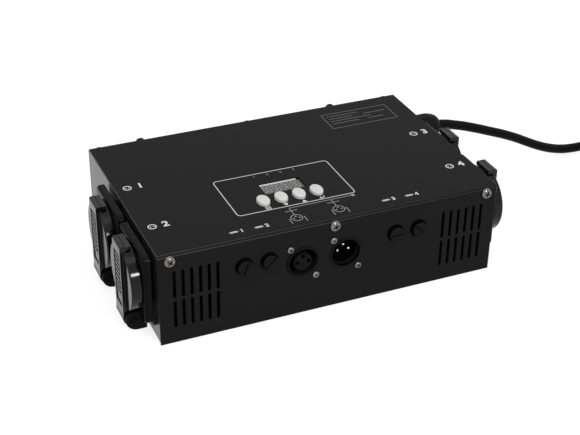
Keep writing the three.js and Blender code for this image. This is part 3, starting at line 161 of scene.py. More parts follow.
def newFinish(name, color, roughness, ior=1.45, metallic=0.0):
    m = Recipe(bpy.data.materials.new(name))
    m.block.diffuse_color = (*color, 1)
    m.fill(m.shader.inputs, {
        "Base Color": (*color, 1), "Roughness": roughness, "Metallic": metallic, "IOR": ior})
    return m


def grey(value, blue=0.0):
    return (value, value, value + blue, 1)


# Floor, backdrop and lamps
studioSettings = {
    "floorSize": 6.0,
    "floorColor": 0.35,
    "floorMottle": 0.37,
    "floorLift": 0.8,  # what is seen on top of the lit floor
    "worldStrength": 0.6,
    "worldSeen": 1.0,
    "lamps": [  # name, place, target, size and power
        ("lampTop", (-0.3, -0.4, 1.4), (0, 0, 0), 1.2, 4.0),
        ("lampFront", (0.18, -1.33, 0.7), (0, 0, 0.04), 0.2, 5.5),
    ],
}


def makeStudio(s):
    bpy.ops.mesh.primitive_plane_add(size=s["floorSize"], location=(0, 0, 0))
    floor = bpy.context.object
    floor.name = "floor"
    m = newFinish("floor_paper", grey(s["floorColor"])[:3], 0.9)
    m.give("Emission Color", grey(1))
    m.give("Emission Strength", m.seen() * s["floorLift"])
    mottle = m.span(m.noise(3, 2), 0.3, 0.7)
    m.give("Base Color", m.blendColor(mottle, grey(s["floorColor"]), grey(s["floorMottle"])))
    floor.data.materials.append(m.block)

    scene = bpy.context.scene
    scene.world = bpy.data.worlds.new("studio")
    sky = Recipe(scene.world, "Background")
    sky.give("Color", grey(1))
    sky.give("Strength", sky.span(sky.seen(), 0, 1, s["worldStrength"], s["worldSeen"]))

    for name, place, target, size, power in s["lamps"]:
        data = bpy.data.lights.new(name, "AREA")
        data.shape = "DISK"
        data.size = size
        data.energy = power
        lamp = linked(name, data)
        lamp.location = place
        lamp.rotation_euler = (Vector(target) - Vector(place)).to_track_quat("-Z", "Y").to_euler()
    scene.view_settings.view_transform = "Standard"
    print("studio set")


makeStudio(studioSettings)


# Finishes
paint = {
    "color": grey(0.0165, 0.0005),
    "speck": grey(0.065, 0.002),
    # colour of the painted highlight along the front top bend
    "bend": grey(0.15, 0.002),
    # colour of the painted highlight on the cover's left end edges
    "cut": grey(0.14, 0.002),
    "cutX": -0.12485,  # the left ends of the cover, above the tray
    "cutZ": 0.0686,
    # two thin bands of painted highlight along the front top bend
    "bends": [(-0.0785, 0.06965, 1), (-0.07985, 0.0679, 0.0683)],  # in front of, above and below
}


def casePaint(name, ior, roughness, peelDepth, cutEdge):
    # powder coat: fine orange peel and faint specks, with painted highlights: lighter on the cover's left
    # end edges and in two thin bands along the front top bend, stronger to the left
    m = newFinish(name, paint["color"][:3], roughness, ior)
    speck = m.span(m.noise(2600, 1), 0.66, 0.72)
    fine = m.span(m.noise(500, 4, 0.7), 0.3, 0.7, 0.45, 1)
    x, y, z = (m.axis(letter) for letter in "XYZ")
    ends = (x < paint["cutX"]) * (z > paint["cutZ"])
    # painted highlight in two thin bands along the front top bend, broken by noise and stronger to the left
    first, second = ((y < front) * (z > low) * (z < high) for front, low, high in paint["bends"])
    bends = ((first + second) * fine).clamped() * m.span(x, -0.11, 0.09, 0.75, 0.3)
    color = m.blendColor(speck * 0.3, paint["color"], paint["speck"])
    color = m.blendColor(bends, color, paint["bend"])
    # painted highlight on the cover's left end edges
    m.give("Base Color", m.blendColor(ends * cutEdge, color, paint["cut"]))
    m.give("Roughness", m.span(m.noise(25, 3), 0.3, 0.7, roughness - 0.04, roughness + 0.04))
    m.bump(m.noise(1500, 3, 0.55), peelDepth)
    return m.block


def plasticFinish(name, color, roughness=0.45, grain=1400, strength=0.15, ior=1.15, edgeHighlightShare=0.4):
    m = newFinish(name, color, roughness, ior)
    # convex edges, where pointiness is high, are painted lighter as an edge highlight
    lighter = tuple(min(c * 1.6 + 0.02, 1) for c in color)
    m.give("Base Color", m.blendColor(m.edges() * edgeHighlightShare, (*color, 1), (*lighter, 1)))
    m.give("Roughness", m.span(m.noise(40, 3), 0.3, 0.7, roughness - 0.07, roughness + 0.07))
    m.bump(m.noise(grain, 2, 0.6), strength)
    return m.block


def fuseFinish(name, color, faceColor, frontY):
    # moulded plastic, matt: the sides of the cap and the holder are near-black as painted shade, the face of
    # the cap paler
    m = newFinish(name, color[:3], 0.4, 1.06)
    face = (m.axis("Y") < frontY) * m.span(m.noise(900, 2), 0.2, 0.4, 0.8, 1)
    # everything but the face of the cap keeps the near-black painted shade
    m.give("Base Color", m.blendColor(face, color, faceColor))
    m.bump(m.noise(1400, 2, 0.6), 0.05)
    return m.block


def metalFinish(name, color, roughness):
    m = newFinish(name, color, roughness, metallic=1.0)
    fine = m.noise(220, 5, 0.65)
    darker = tuple(c * 0.72 for c in color)
    color = m.blendColor(m.span(m.noise(70, 3), 0.35, 0.7), (*color, 1), (*darker, 1))
    # near-black where pointiness is low: painted shade in hollows such as the screw recesses
    m.give("Base Color", m.blendColor(m.edges(0.5, 0.44) * 0.85, color, grey(0.02)))
    m.give("Roughness", m.span(fine, 0.25, 0.75, roughness * 0.7, roughness * 1.4))
    m.bump(fine, 0.1, 0.0001)
    return m.block


def boardFinish(name, low, high):
    # green laminate between two heights, dark and coppery parts on both sides of it
    m = newFinish(name, (0.02, 0.1, 0.05), 0.4)
    z = m.axis("Z")
    blocks = m.node("ShaderNodeTexVoronoi", {"distance": "CHEBYCHEV"}, {"Vector": m.coords(), "Scale": 60})
    traces = m.node("ShaderNodeTexWave", {"wave_type": "BANDS"}, {
        "Vector": m.coords(), "Scale": 90, "Distortion": 6, "Detail": 2})
    green = m.blendColor(m.span(traces, 0.55, 0.6), (0.012, 0.07, 0.035, 1), (0.03, 0.14, 0.06, 1))
    parts = m.blendColor(m.span(blocks, 0.3, 0.5), grey(0.01, 0.001), (0.045, 0.025, 0.014, 1))
    m.give("Base Color", m.blendColor((z > low) * (z < high), parts, green))
    m.bump(m.noise(300, 3), 0.2)
    return m.block


def rubberFinish(name, color, ior):
    m = newFinish(name, color, 0.4, ior)
    m.give("Roughness", m.span(m.noise(60, 2), 0.3, 0.7, 0.36, 0.5))
    m.bump(m.noise(900, 4, 0.6), 0.12)
    return m.block


finishes = {values[0]: maker(*values) for maker, rows in (
    # name, ior, roughness, depth of the orange peel, share of painted highlight on the cover's left end
    # edges
    (casePaint, [
        ("case_paint", 1.075, 0.34, 0.12, 0.8),
        ("wall_paint", 1.33, 0.2, 0.04, 0),
    ]),
    # name, colour, roughness, scale and strength of the grain, ior, share of painted highlight on convex
    # edges
    (plasticFinish, [
        ("black_shell", (0.003, 0.003, 0.0033), 0.2, 1400, 0.03, 1.1, 0.5),
        ("black_steel", (0.012, 0.012, 0.013), 0.35),
        ("socket_plastic", (0.008, 0.0085, 0.0095), 0.36, 1400, 0.05, 1.1, 0.1),
        ("outlet_plastic", (0.0025, 0.0025, 0.0028), 0.2, 1400, 0.03, 1.12, 0.3),
        ("lid_plastic", (0.003, 0.003, 0.0033), 0.11, 1400, 0.01, 1.3, 0.3),
        ("key_plastic", (0.72, 0.715, 0.69), 0.42, 1500, 0.12, 1.4),
        ("display_glass", (0.115, 0.115, 0.113), 0.25, 900, 0.03),
        ("display_digit", (0.24, 0.236, 0.23), 0.3, 900, 0.03),
        ("display_dark", (0.09, 0.09, 0.09), 0.25, 900, 0.03),
        ("display_bar", (0.07, 0.07, 0.07), 0.3, 900, 0.03),
        ("lamp_lens", (0.004, 0.014, 0.009), 0.2, 900, 0.03, 1.2, 0.1),
        ("print_ink", (0.62, 0.62, 0.61), 0.5, 1500, 0.05),
        ("print_soft", (0.33, 0.33, 0.325), 0.5, 1500, 0.05),
        ("print_grey", (0.16, 0.16, 0.16), 0.5, 1500, 0.05),
        ("gland_plastic", (0.008, 0.008, 0.008), 0.4),
        ("plug_plastic", (0.01, 0.01, 0.01), 0.5),
    ]),
    # name, colour of the sides and the holder with painted shade, colour of the face, plane of the face
    (fuseFinish, [("fuse_plastic", grey(0.0015, 0.0001), grey(0.015, 0.0005), -0.0827)]),
    # name, colour, roughness
    (metalFinish, [
        ("zinc_plate", (0.55, 0.56, 0.58), 0.4),
        ("nickel_screw", (0.21, 0.195, 0.18), 0.2),
        ("contact_metal", (0.78, 0.76, 0.72), 0.22),
        ("spring_steel", (0.5, 0.5, 0.52), 0.3),
        ("aluminium", (0.6, 0.61, 0.62), 0.38),
        ("core_steel", (0.2, 0.2, 0.22), 0.5),
    ]),
    # name, underside and top of the laminate
    (boardFinish, [("circuit_board", 0.0574, 0.0592), ("power_laminate", 0.0079, 0.0097)]),
    # name, colour, ior
    (rubberFinish, [("lead_rubber", (0.006, 0.006, 0.0063), 1.13)]),
) for values in rows}


# Modelling helpers. The sizes in the dictionaries of the pieces are in millimetres.
mm = 0.001
weld = mm / 500  # corners nearer than this become one


def metres(*place):
    return Vector(place) * mm


def pickOut(piece):
    bpy.ops.object.select_all(action="DESELECT")
    piece.select_set(True)
    bpy.context.view_layer.objects.active = piece


def settled():
    # the place of a new primitive goes into its mesh
    piece = bpy.context.object
    pickOut(piece)
    bpy.ops.object.transform_apply(location=True, rotation=True, scale=True)
    return piece


def about(middle, half):
    return middle - half, middle + half


def box(*spans):
    # along each axis from one place to another, or by one number to both sides of 0
    spans = [sorted(span) if isinstance(span, tuple) else (-span, span) for span in spans]
    low, high = (metres(*place) for place in zip(*spans))
    bpy.ops.object.select_all(action="DESELECT")
    bpy.ops.mesh.primitive_cube_add(size=1, location=(low + high) / 2, scale=high - low)
    return settled()


def rod(axis, radius, at, start, end, sides=48):
    # along one axis, at its place on the two others
    bpy.ops.object.select_all(action="DESELECT")
    i = "XYZ".index(axis)
    start, end = (metres(*at[:i], along, *at[i:]) for along in (start, end))
    bpy.ops.mesh.primitive_cylinder_add(
        vertices=sides, radius=radius * mm, depth=(end - start).length,
        location=(start + end) / 2, rotation=Vector((0, 0, 1)).rotation_difference(end - start).to_euler())
    return settled()


def hexagon(axis, across, at, start, end):
    return rod(axis, across / math.sqrt(3), at, start, end, 6)


def turned(profile, middle, axis, steps=64):
    # one corner is drawn out along the profile of (along the axis, radius) and spun
    along = Vector([letter == axis for letter in "XYZ"])
    out = Vector((1, 0, 0)) if axis == "Z" else Vector((0, 0, 1))
    points = [metres(*middle) + (along * a + out * r) * mm for a, r in profile]
    bpy.ops.object.select_all(action="DESELECT")
    bpy.ops.mesh.primitive_plane_add(size=mm, location=points[0])
    bpy.ops.object.mode_set(mode="EDIT")
    bpy.ops.mesh.select_mode(type="VERT")
    bpy.ops.mesh.select_all(action="SELECT")
    bpy.ops.mesh.merge(type="CENTER")
    for a, b in zip(points, points[1:]):
        bpy.ops.mesh.extrude_vertices_move(TRANSFORM_OT_translate={"value": b - a})
    bpy.ops.mesh.select_all(action="SELECT")
    bpy.ops.mesh.spin(steps=steps, angle=2 * math.pi, center=metres(*middle), axis=along)
    bpy.ops.mesh.select_all(action="SELECT")
    bpy.ops.mesh.remove_doubles(threshold=weld)
    bpy.ops.mesh.normals_make_consistent(inside=False)
    bpy.ops.object.mode_set(mode="OBJECT")
    return settled()


def select(piece, kind, test):
    # leaves the piece in edit mode with the faces or edges selected that pass the test
    pickOut(piece)
    bpy.ops.object.mode_set(mode="EDIT")
    bpy.ops.mesh.select_mode(type=kind)
    bpy.ops.mesh.select_all(action="DESELECT")
    mesh = bmesh.from_edit_mesh(piece.data)
    if kind == "FACE":
        for face in mesh.faces:
            if test(face.calc_center_median() / mm, face.normal):
                face.select_set(True)
    else:
        for edge in mesh.edges:
            if test(*(corner.co / mm for corner in edge.verts)):
                edge.select_set(True)
    bmesh.update_edit_mesh(piece.data)


def bevelled(piece, test, width, segments=3):
    select(piece, "EDGE", test)
    bpy.ops.mesh.bevel(offset=width * mm, segments=segments, affect="EDGES")
    bpy.ops.mesh.select_all(action="SELECT")
    bpy.ops.mesh.remove_doubles(threshold=weld)
    bpy.ops.object.mode_set(mode="OBJECT")
    return piece


def running(axis):
    i = "XYZ".index(axis)
    return lambda a, b: abs(a[i] - b[i]) > 0.05


def removeFaces(piece, test):
    select(piece, "FACE", test)
    bpy.ops.mesh.delete(type="FACE")
    bpy.ops.object.mode_set(mode="OBJECT")


def stretched(piece, test, value, middle):
    select(piece, "FACE", test)
    bpy.ops.transform.resize(value=value, center_override=metres(*middle))
    bpy.ops.object.mode_set(mode="OBJECT")
    return piece


def applied(piece, kind, **settings):
    pickOut(piece)
    modifier = piece.modifiers.new(kind.lower(), kind)
    for key, value in settings.items():
        setattr(modifier, key, value)
    bpy.ops.object.modifier_apply(modifier=modifier.name)
    return piece


def softened(piece, width, segments=2, angle=35):
    return applied(piece, "BEVEL", width=width * mm, segments=segments,
                   limit_method="ANGLE", angle_limit=math.radians(angle), use_clamp_overlap=False)


def joined(pieces):
    bpy.ops.object.select_all(action="DESELECT")
    for piece in pieces:
        piece.select_set(True)
    bpy.context.view_layer.objects.active = pieces[0]
    bpy.ops.object.join()
    return pieces[0]


def cutAway(piece, tools, selfCrossing=False):
    tool = joined(tools)
    applied(piece, "BOOLEAN", operation="DIFFERENCE", solver="EXACT", use_self=selfCrossing, object=tool)
    bpy.data.objects.remove(tool)
    return piece


def fused(piece, others):
    for other in others:
        applied(piece, "BOOLEAN", operation="UNION", solver="EXACT", object=other)
        bpy.data.objects.remove(other)
    return piece


def shift(x, y, z):
    return Matrix.Translation(metres(x, y, z))


def turnedAbout(axis, degrees):
    return Matrix.Rotation(math.radians(degrees), 4, axis)


def copiesOf(piece, moves):
    # the first piece gives way to its copies
    copies = []
    for move in moves:
        twin = piece.copy()
        twin.data = piece.data.copy()
        twin.data.transform(move)
        bpy.context.scene.collection.objects.link(twin)
        copies.append(twin)
    bpy.data.objects.remove(piece)
    return copies


def finished(piece, name, finish, replaced=(), angle=32, body="case"):
    piece.name = name
    pickOut(piece)
    bpy.ops.object.shade_smooth_by_angle(angle=math.radians(angle))
    applied(piece, "WEIGHTED_NORMAL", keep_sharp=True)
    piece.data.materials.clear()
    piece.data.materials.append(finishes[finish])
    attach(piece, body)
    if replaced:
        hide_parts(*replaced)
    return piece


def around(number, reach, first=0.0):
    # places evenly round a circle
    angles = [2 * math.pi * i / number + first for i in range(number)]
    return [(reach * math.cos(angle), reach * math.sin(angle)) for angle in angles]


def quarterRound(along0, radius0, along1, radius1, steps):
    angles = [i / steps * math.pi / 2 for i in range(steps + 1)]
    return [(along0 + (along1 - along0) * math.sin(angle), radius1 + (radius0 - radius1) * math.cos(angle))
            for angle in angles]


# Case: cover and tray of one bent sheet each
case = {
    "halfWidth": 125,
    "halfDepth": 80,
    "height": 70,
    "foot": 0.4,  # the cover's lower edges above the ground
    "sheet": 1.2,
    "bend": 2.5,
    "edge": 0.2,  # softening of the cut edges
    "seam": 0.2,
    "overrun": 3,
    "screwX": [-117, 0, 117],
    "screwZ": 65,
    "screwHole": 2.2,
    "slotX": [side * (84 + column * 6.03) for column in range(6) for side in (-1, 1)],
    "slotWidth": 2.2,
    "slotLength": 21.3,
    "slotLow": [12.25, 35.45],
    "fuseX": [-65.65, -47.75, 46.35, 64.25],
    "fuseZ": 49,
    "fuseHole": 5.9,
    "signalX": [-23, 8.8],
    "signalZ": 41.6,
    "signalHole": 12.1,
    "signalScrew": (9.5, 12),
    "signalScrewHole": 1.7,
    "keyX": [-35.8, -22.5, -9.2, 4.1],
    "keyY": -40.4,
    "keyHole": 4.7,
    "keyLengthening": 12.8 / 8.9,
    "lampX": [-28.7, -18.7, -8.7, 1.3],
    "lampY": -10,
    "lampHole": 1.8,
    "window": ((-30.2, 0.5), (-31.6, -17.6)),
    "studX": [-79.5, 79.5],
    "studZ": 56,
    "studHole": 4.2,
    "outletY": [10, -45.5],
    "outletZ": 38.8,
    "outletHole": 21.5,
    "gland": (50, 51.6),
    "glandHole": 10.1,
}
wallX, rearY, topZ = case["halfWidth"], case["halfDepth"], case["height"]
frontY = -rearY
sheet = case["sheet"]
gap = sheet + case["seam"]  # from the outside of the cover to what lies against its inside
across, up = case["signalScrew"]
signalScrews = [(x + side * across, case["signalZ"] - side * up)
                for x in case["signalX"] for side in (-1, 1)]


def thickened(piece):
    return applied(piece, "SOLIDIFY", thickness=sheet * mm, offset=-1, use_even_offset=True)


def hole(axis, radius, at, middle, sides=32):
    return rod(axis, radius, at, *about(middle, case["overrun"]), sides)


def makeCover(s):
    cover = box(wallX, rearY, (s["foot"], topZ))
    bevelled(cover, lambda a, b: min(a.z, b.z) > topZ - 1 and abs(a.x - b.x) > 1, s["bend"], 6)
    removeFaces(cover, lambda middle, normal: normal.z < -0.9 or abs(normal.x) > 0.9)
    thickened(cover)
    half, over = s["slotWidth"] / 2, s["overrun"]
    slot = box(half, about(frontY, over), (0, s["slotLength"]))
    bevelled(slot, running("Y"), half * 0.99, 6)
    tools = copiesOf(slot, [shift(x, 0, low) for x in s["slotX"] for low in s["slotLow"]])
    for x in s["screwX"]:
        tools += [hole("Y", s["screwHole"], (x, s["screwZ"]), y) for y in (frontY, rearY)]
    tools += [hole("Y", s["fuseHole"], (x, s["fuseZ"]), frontY, 48) for x in s["fuseX"]]
    tools += [hole("Y", s["signalHole"], (x, s["signalZ"]), frontY, 96) for x in s["signalX"]]
    tools += [hole("Y", s["signalScrewHole"], place, frontY) for place in signalScrews]
    tools += [stretched(hole("Z", s["keyHole"], (x, s["keyY"]), topZ, 48), lambda middle, normal: True,
                        (1, s["keyLengthening"], 1), (x, s["keyY"], 0)) for x in s["keyX"]]
    tools += [hole("Z", s["lampHole"], (x, s["lampY"]), topZ, 48) for x in s["lampX"]]
    tools += [hole("Y", s["studHole"], (x, s["studZ"]), rearY) for x in s["studX"]]
    cutAway(cover, [*tools, box(*s["window"], about(topZ, over))])
    finished(softened(cover, s["edge"]), "cover", "case_paint", ["cover_shell"])


def makeTray(s):
    height, depth, over = topZ - gap, rearY - gap, s["overrun"]
    tray = box(wallX, depth, (0, height))
    bevelled(tray, lambda a, b: max(a.z, b.z) < 1 and abs(a.y - b.y) > 1, s["bend"], 6)
    removeFaces(tray, lambda middle, normal: normal.z > 0.9 or abs(normal.y) > 0.9)
    thickened(tray)

    def isWallCorner(a, b):
        acrossWall = sheet / 2 < abs(a.x - b.x) < 2 * sheet
        return acrossWall and min(a.z, b.z) > height - 1 and min(abs(a.y), abs(b.y)) > depth - 1

    bevelled(tray, isWallCorner, s["bend"] - sheet, 3)
    inner, outer = about(wallX, over)
    tools = [rod("X", s["outletHole"], (y, s["outletZ"]), side * inner, side * outer, 64)
             for side in (-1, 1) for y in s["outletY"]]
    cutAway(tray, [*tools, hole("X", s["glandHole"], s["gland"], wallX, 48)])
    finished(softened(tray, s["edge"]), "tray", "wall_paint", ["base_tray"])


makeCover(case)
makeTray(case)
print("case made")


# Pan head screws, modelled once with the head to -Y, then copied and turned
screwSettings = {
    "head": [(-2.6, 0), (-2.6, 1.4), (-2.45, 2.4), (-2.1, 3.2), (-1.6, 3.7), (-1, 3.95), (-0.2, 4),
             (-0.2, 1.9), (7.4, 1.9), (8, 1.2), (8, 0)],
    "recess": (5, 1.2, 1.9),  # length, width, depth
    "turns": [38, 72, 15],  # degrees that the recesses stand at
    "smallHead": [(-1.9, 0), (-1.9, 1), (-1.75, 1.7), (-1.4, 2.25), (-0.9, 2.55), (-0.2, 2.6),
                  (-0.2, 1.4), (5.6, 1.4), (6, 1), (6, 0)],
    "smallRecess": (3.4, 0.95, 1.3),
    "smallTurns": [20, 64, 48, 5],
}


def makeScrew(profile, length, width, depth):
    screw = turned(profile, (0, 0, 0), "Y", 32)
    top = profile[0][0]
    tools = [stretched(box(x, (top - 1, top + depth), z), lambda middle, normal: normal.y > 0.9,
                       (0.6, 1, 0.6), (0, top + depth, 0))
             for x, z in ((length / 2, width / 2), (width / 2, length / 2))]
    return softened(cutAway(screw, tools, True), 0.06, 2, 40)


def makeScrews(s):
    sides, moves = ("left", "middle", "right"), []
    for x, turn in zip(case["screwX"], s["turns"]):
        moves.append(shift(x, frontY, case["screwZ"]) @ turnedAbout("Y", turn))
        moves.append(shift(x, rearY, case["screwZ"]) @ turnedAbout("Z", 180) @ turnedAbout("Y", turn))
    screws = copiesOf(makeScrew(s["head"], *s["recess"]), moves)
    for side, front, rear in zip(sides, screws[::2], screws[1::2]):
        finished(front, "panel_screw_" + side, "nickel_screw", ["cover_screw_" + side], 28)
        finished(rear, "rear_screw_" + side, "nickel_screw", angle=28)
    moves = [shift(x, frontY, z) @ turnedAbout("Y", turn)
             for (x, z), turn in zip(signalScrews, s["smallTurns"])]
    for i, small in enumerate(copiesOf(makeScrew(s["smallHead"], *s["smallRecess"]), moves), 1):
        finished(small, f"signal_screw_{i}", "nickel_screw", [f"xlr_screw_{i}"], 28)


makeScrews(screwSettings)
print("screws made")


# Rear rail, an angle that the rear screws go into, notched round the stud heads
railSettings = {
    "end": 123.5,
    "reach": 12.5,
    "drop": 10,
    "notch": 8.2,
    "beyond": 2,
}


def makeRearRail(s):
    top, back = topZ - gap, rearY - gap
    rail = box(s["end"], (back - s["reach"], back), (top - s["drop"], top))
    removeFaces(rail, lambda middle, normal: normal.z < -0.9 or normal.y < -0.9 or abs(normal.x) > 0.9)
    bevelled(rail, lambda a, b: min(a.y, b.y) > back - 0.1 and min(a.z, b.z) > top - 0.1,
             case["bend"] - sheet, 4)
    thickened(rail)
    end = back + s["beyond"]
    tools = [rod("Y", s["notch"], (x, case["studZ"]), back - s["reach"], end) for x in case["studX"]]
    tools += [rod("Y", case["screwHole"], (x, case["screwZ"]), back - case["overrun"], end, 24)
              for x in case["screwX"]]
    cutAway(rail, tools)
    finished(softened(rail, 0.15), "rail", "zinc_plate", ["rear_rail"])


makeRearRail(railSettings)
print("rear rail made")


# Signal sockets: a ring through the panel with a flange behind it, and an insert or pins
signalSettings = {
    "rimOut": 0.8,
    "ring": 11.8,
    "bore": 10.25,
    "back": 24,
    "step": 3.2,  # ledge inside the male ring, from the rim
    "stepRadius": 9.5,
    "flange": (13, 15.5, 2),  # half width, half height, thickness
    "insert": 6.65,
    "insertHole": 1.5,
    "insertFoot": 9.95,
    "footThickness": 6,
    "contactCircle": 4.2,
    "holeDepth": 9,
    "pin": 1.2,
    "pinTip": 4.7,
    "cup": (1.1, 5),  # radius, length
}
signalZ = case["signalZ"]
socketBack = frontY + signalSettings["back"]


def contactPlaces(s, x):
    circle = s["contactCircle"]
    return [(x - circle, signalZ), (x, signalZ + circle), (x + circle, signalZ)]


def makeSignalShell(s, name, x, node, ledge):
    rim, bore, ring = frontY - s["rimOut"], s["bore"], s["ring"]
    inner = [(socketBack, bore)]
    if ledge:
        deep, step = rim + s["step"], s["stepRadius"]
        inner += [(deep + 2.5, bore), (deep + 2.2, step), (deep + 0.3, step), (deep, step + 0.3),
                  (deep - 0.5, bore)]
    profile = [*inner, (rim + 0.5, bore), (rim, bore + 0.4), (rim, ring - 0.45), (rim + 0.15, ring - 0.15),
               (rim + 0.5, ring), (socketBack, ring), (socketBack, bore)]
    shell = turned(profile, (x, 0, signalZ), "Y", 96)
    halfWidth, halfHeight, thickness = s["flange"]
    inside = frontY + gap
    flange = box(about(x, halfWidth), (inside, inside + thickness), about(signalZ, halfHeight))
    bevelled(flange, running("Y"), 2, 4)
    through = inside - 2, inside + 4
    tools = [rod("Y", ring - 0.5, (x, signalZ), *through, 64)]
    tools += [rod("Y", case["signalScrewHole"], place, *through, 24)
              for place in signalScrews if abs(place[0] - x) < halfWidth]
    cutAway(flange, tools)
    finished(joined([shell, softened(flange, 0.15)]), name, "black_shell", [node], 40)


def makeInsertFoot(s, x):
    start = socketBack - s["footThickness"]
    profile = [(start, 0), (start, s["insertFoot"]), (socketBack, s["insertFoot"]), (socketBack, 0)]
    return softened(turned(profile, (x, 0, signalZ), "Y", 64), 0.3)


def contactCup(s, place):
    radius, length = s["cup"]
    return rod("Y", radius, place, socketBack - 0.5, socketBack + length, 20)


def makeFemaleInsert(s):
    x, radius, size = case["signalX"][0], s["insert"], s["insertHole"]
    profile = [(frontY, 0), (frontY, radius - 0.5), (frontY + 0.15, radius - 0.15), (frontY + 0.5, radius),
               (socketBack - 1, radius), (socketBack - 1, 0)]
    column = turned(profile, (x, 0, signalZ), "Y", 72)
    end = frontY + s["holeDepth"]
    profile = [(frontY - 1, 0), (frontY - 1, size + 0.5), (frontY + 0.4, size), (end, size), (end, 0)]
    cutAway(column, [turned(profile, (holeX, 0, holeZ), "Y", 32) for holeX, holeZ in contactPlaces(s, x)])
    insert = joined([column, makeInsertFoot(s, x)])
    finished(insert, "female_insert", "socket_plastic", ["xlr_female_insert"], 40)
    cups = softened(joined([contactCup(s, place) for place in contactPlaces(s, x)]), 0.2)
    finished(cups, "female_cups", "contact_metal", ["xlr_female_insert"])


def makeMaleInsert(s):
    x, radius = case["signalX"][1], s["pin"]
    finished(makeInsertFoot(s, x), "male_insert", "socket_plastic", ["xlr_male_pins"], 40)
    tip, end = frontY - s["rimOut"] + s["pinTip"], socketBack - s["footThickness"] + 1
    profile = [(tip, 0), (tip, 0.35), (tip + 0.15, 0.7), (tip + 0.5, 1), (tip + 1.1, radius),
               (end, radius), (end, 0)]
    pins = []
    for pinX, pinZ in contactPlaces(s, x):
        pins += [turned(profile, (pinX, 0, pinZ), "Y", 24), softened(contactCup(s, (pinX, pinZ)), 0.2)]
    finished(joined(pins), "male_pins", "contact_metal", ["xlr_male_pins"], 40)


for kind, x, ledge in zip(("female", "male"), case["signalX"], (False, True)):
    makeSignalShell(signalSettings, kind + "_shell", x, f"xlr_{kind}_shell", ledge)
makeFemaleInsert(signalSettings)
makeMaleInsert(signalSettings)
print("signal sockets made")


# Panel fuses: holder and slotted cap, each modelled once round the Y axis
fuseSettings = {
    "holder": [(-1.4, 4.8), (-1.4, 5.8), (-1.25, 6.1), (-0.9, 6.3), (-0.2, 6.3), (-0.2, 5.6), (28, 5.6),
               (28, 0), (26, 0), (26, 4.8), (-1.4, 4.8)],
    "nut": (16, 5.5, 1.4, 4.4),  # across, hole, from, to
    "tab": (2.4, (27.5, 34), 0.4),  # half width, from and to, half thickness
    "cap": [(-4.2, 0), (-4.2, 4.7), (-4.1, 5.05), (-3.8, 5.3), (-3.4, 5.4), (-1.8, 5.4), (-1.7, 5.3),
            (-1.7, 4.3), (7.3, 4.3), (7.3, 2.6), (24.3, 2.6), (24.3, 0)],
    "slot": (1.7, 1.5),  # width and depth
    "slotTurns": [70, 45, 0, -40],
    "flutes": (20, 0.45, 5.6),  # number, radius, distance from the middle
}


def makeFuses(s):
    across, bore, low, high = s["nut"]
    holder = turned(s["holder"], (0, 0, 0), "Y")
    nut = cutAway(hexagon("Y", across, (0, 0), low, high), [rod("Y", bore, (0, 0), low - 1, high + 1)])
    holder = joined([holder, softened(nut, 0.3), softened(box(*s["tab"]), 0.15)])
    cap = turned(s["cap"], (0, 0, 0), "Y", 80)
    top = s["cap"][0][0]
    width, depth = s["slot"]
    tools = [box(9, (top - 1, top + depth), width / 2)]
    flutes, radius, reach = s["flutes"]
    tools += [rod("Y", radius, place, top + 0.9, top + 2.9, 12)
              for place in around(flutes, reach, math.pi / flutes)]
    softened(cutAway(cap, tools, True), 0.08, 2, 50)
    places = [shift(x, frontY, case["fuseZ"]) for x in case["fuseX"]]
    caps = copiesOf(cap, [place @ turnedAbout("Y", -turn) for place, turn in zip(places, s["slotTurns"])])
    for i, (holder, cap) in enumerate(zip(copiesOf(holder, places), caps), 1):
        finished(holder, f"fuse_body_{i}", "fuse_plastic", [f"fuse_holder_{i}"], 40)
        finished(cap, f"fuse_button_{i}", "fuse_plastic", [f"fuse_cap_{i}"], 35, f"fuse_cap_body_{i}")


makeFuses(fuseSettings)
print("fuses made")


# Keys: oval, longer from front to rear, with a rounding round the face and a slight crown
keySettings = {
    "radius": 4.45,
    "lengthening": 12.8 / 8.9,
    "top": 72.8,
    "rounding": 1.3,
    "crown": 0.25,
    "flange": (67.5, 68.5, 5.05),  # from, to, radius
    "stem": (66, 2),  # from, radius
    "names": ["key_menu", "key_down", "key_up", "key_enter"],
}


def makeKeys(s):
    radius, rounding, edge = s["radius"], s["rounding"], s["top"] - s["crown"]
    flangeLow, flangeTop, flangeRadius = s["flange"]
    low, stem = s["stem"]
    profile = [(low, 0), (low, stem), (flangeLow, stem), (flangeLow, flangeRadius),
               (flangeTop, flangeRadius), (flangeTop, radius),
               *quarterRound(edge - rounding, radius, edge, radius - rounding, 8),
               (s["top"] - s["crown"] * 0.45, 2), (s["top"] - s["crown"] * 0.1, 1), (s["top"], 0)]
    key = stretched(turned(profile, (0, 0, 0), "Z", 72), lambda middle, normal: middle.z > flangeLow - 1,
                    (1, s["lengthening"], 1), (0, 0, 0))
    for name, button in zip(s["names"], copiesOf(key, [shift(x, case["keyY"], 0) for x in case["keyX"]])):
        finished(button, name.replace("key", "button"), "key_plastic", [name], 40, name + "_body")


makeKeys(keySettings)
print("keys made")


# Display: a filter with four digits of seven bars each, in a frame on the control board
displaySettings = {
    "body": ((-31.3, 1.6), (-32.7, -16.5), (59.3, 67.5)),
    "face": ((-29.9, -1.2), (-31.3, -18.6), (59.3, 69)),
    "end": ((-1.2, 0.2), (-31.3, -18.6), (59.3, 68.9)),  # plain and dark, to the right of the digits
    # rim: a thin light strip along the rear edge of the window
    "rim": ((-29.9, -2.2), (-18.6, -17.9), (59.3, 69.75)),
    "top": 69,
    "digitX": [-26.4, -19.2, -12.0, -4.8],
    "digitY": -24.4,
    "digit": (3.4, 7.4),
    "bar": 1.15,
    "lean": 0.1,
    "proud": 0.1,
    "plateMargin": 1.1,
}


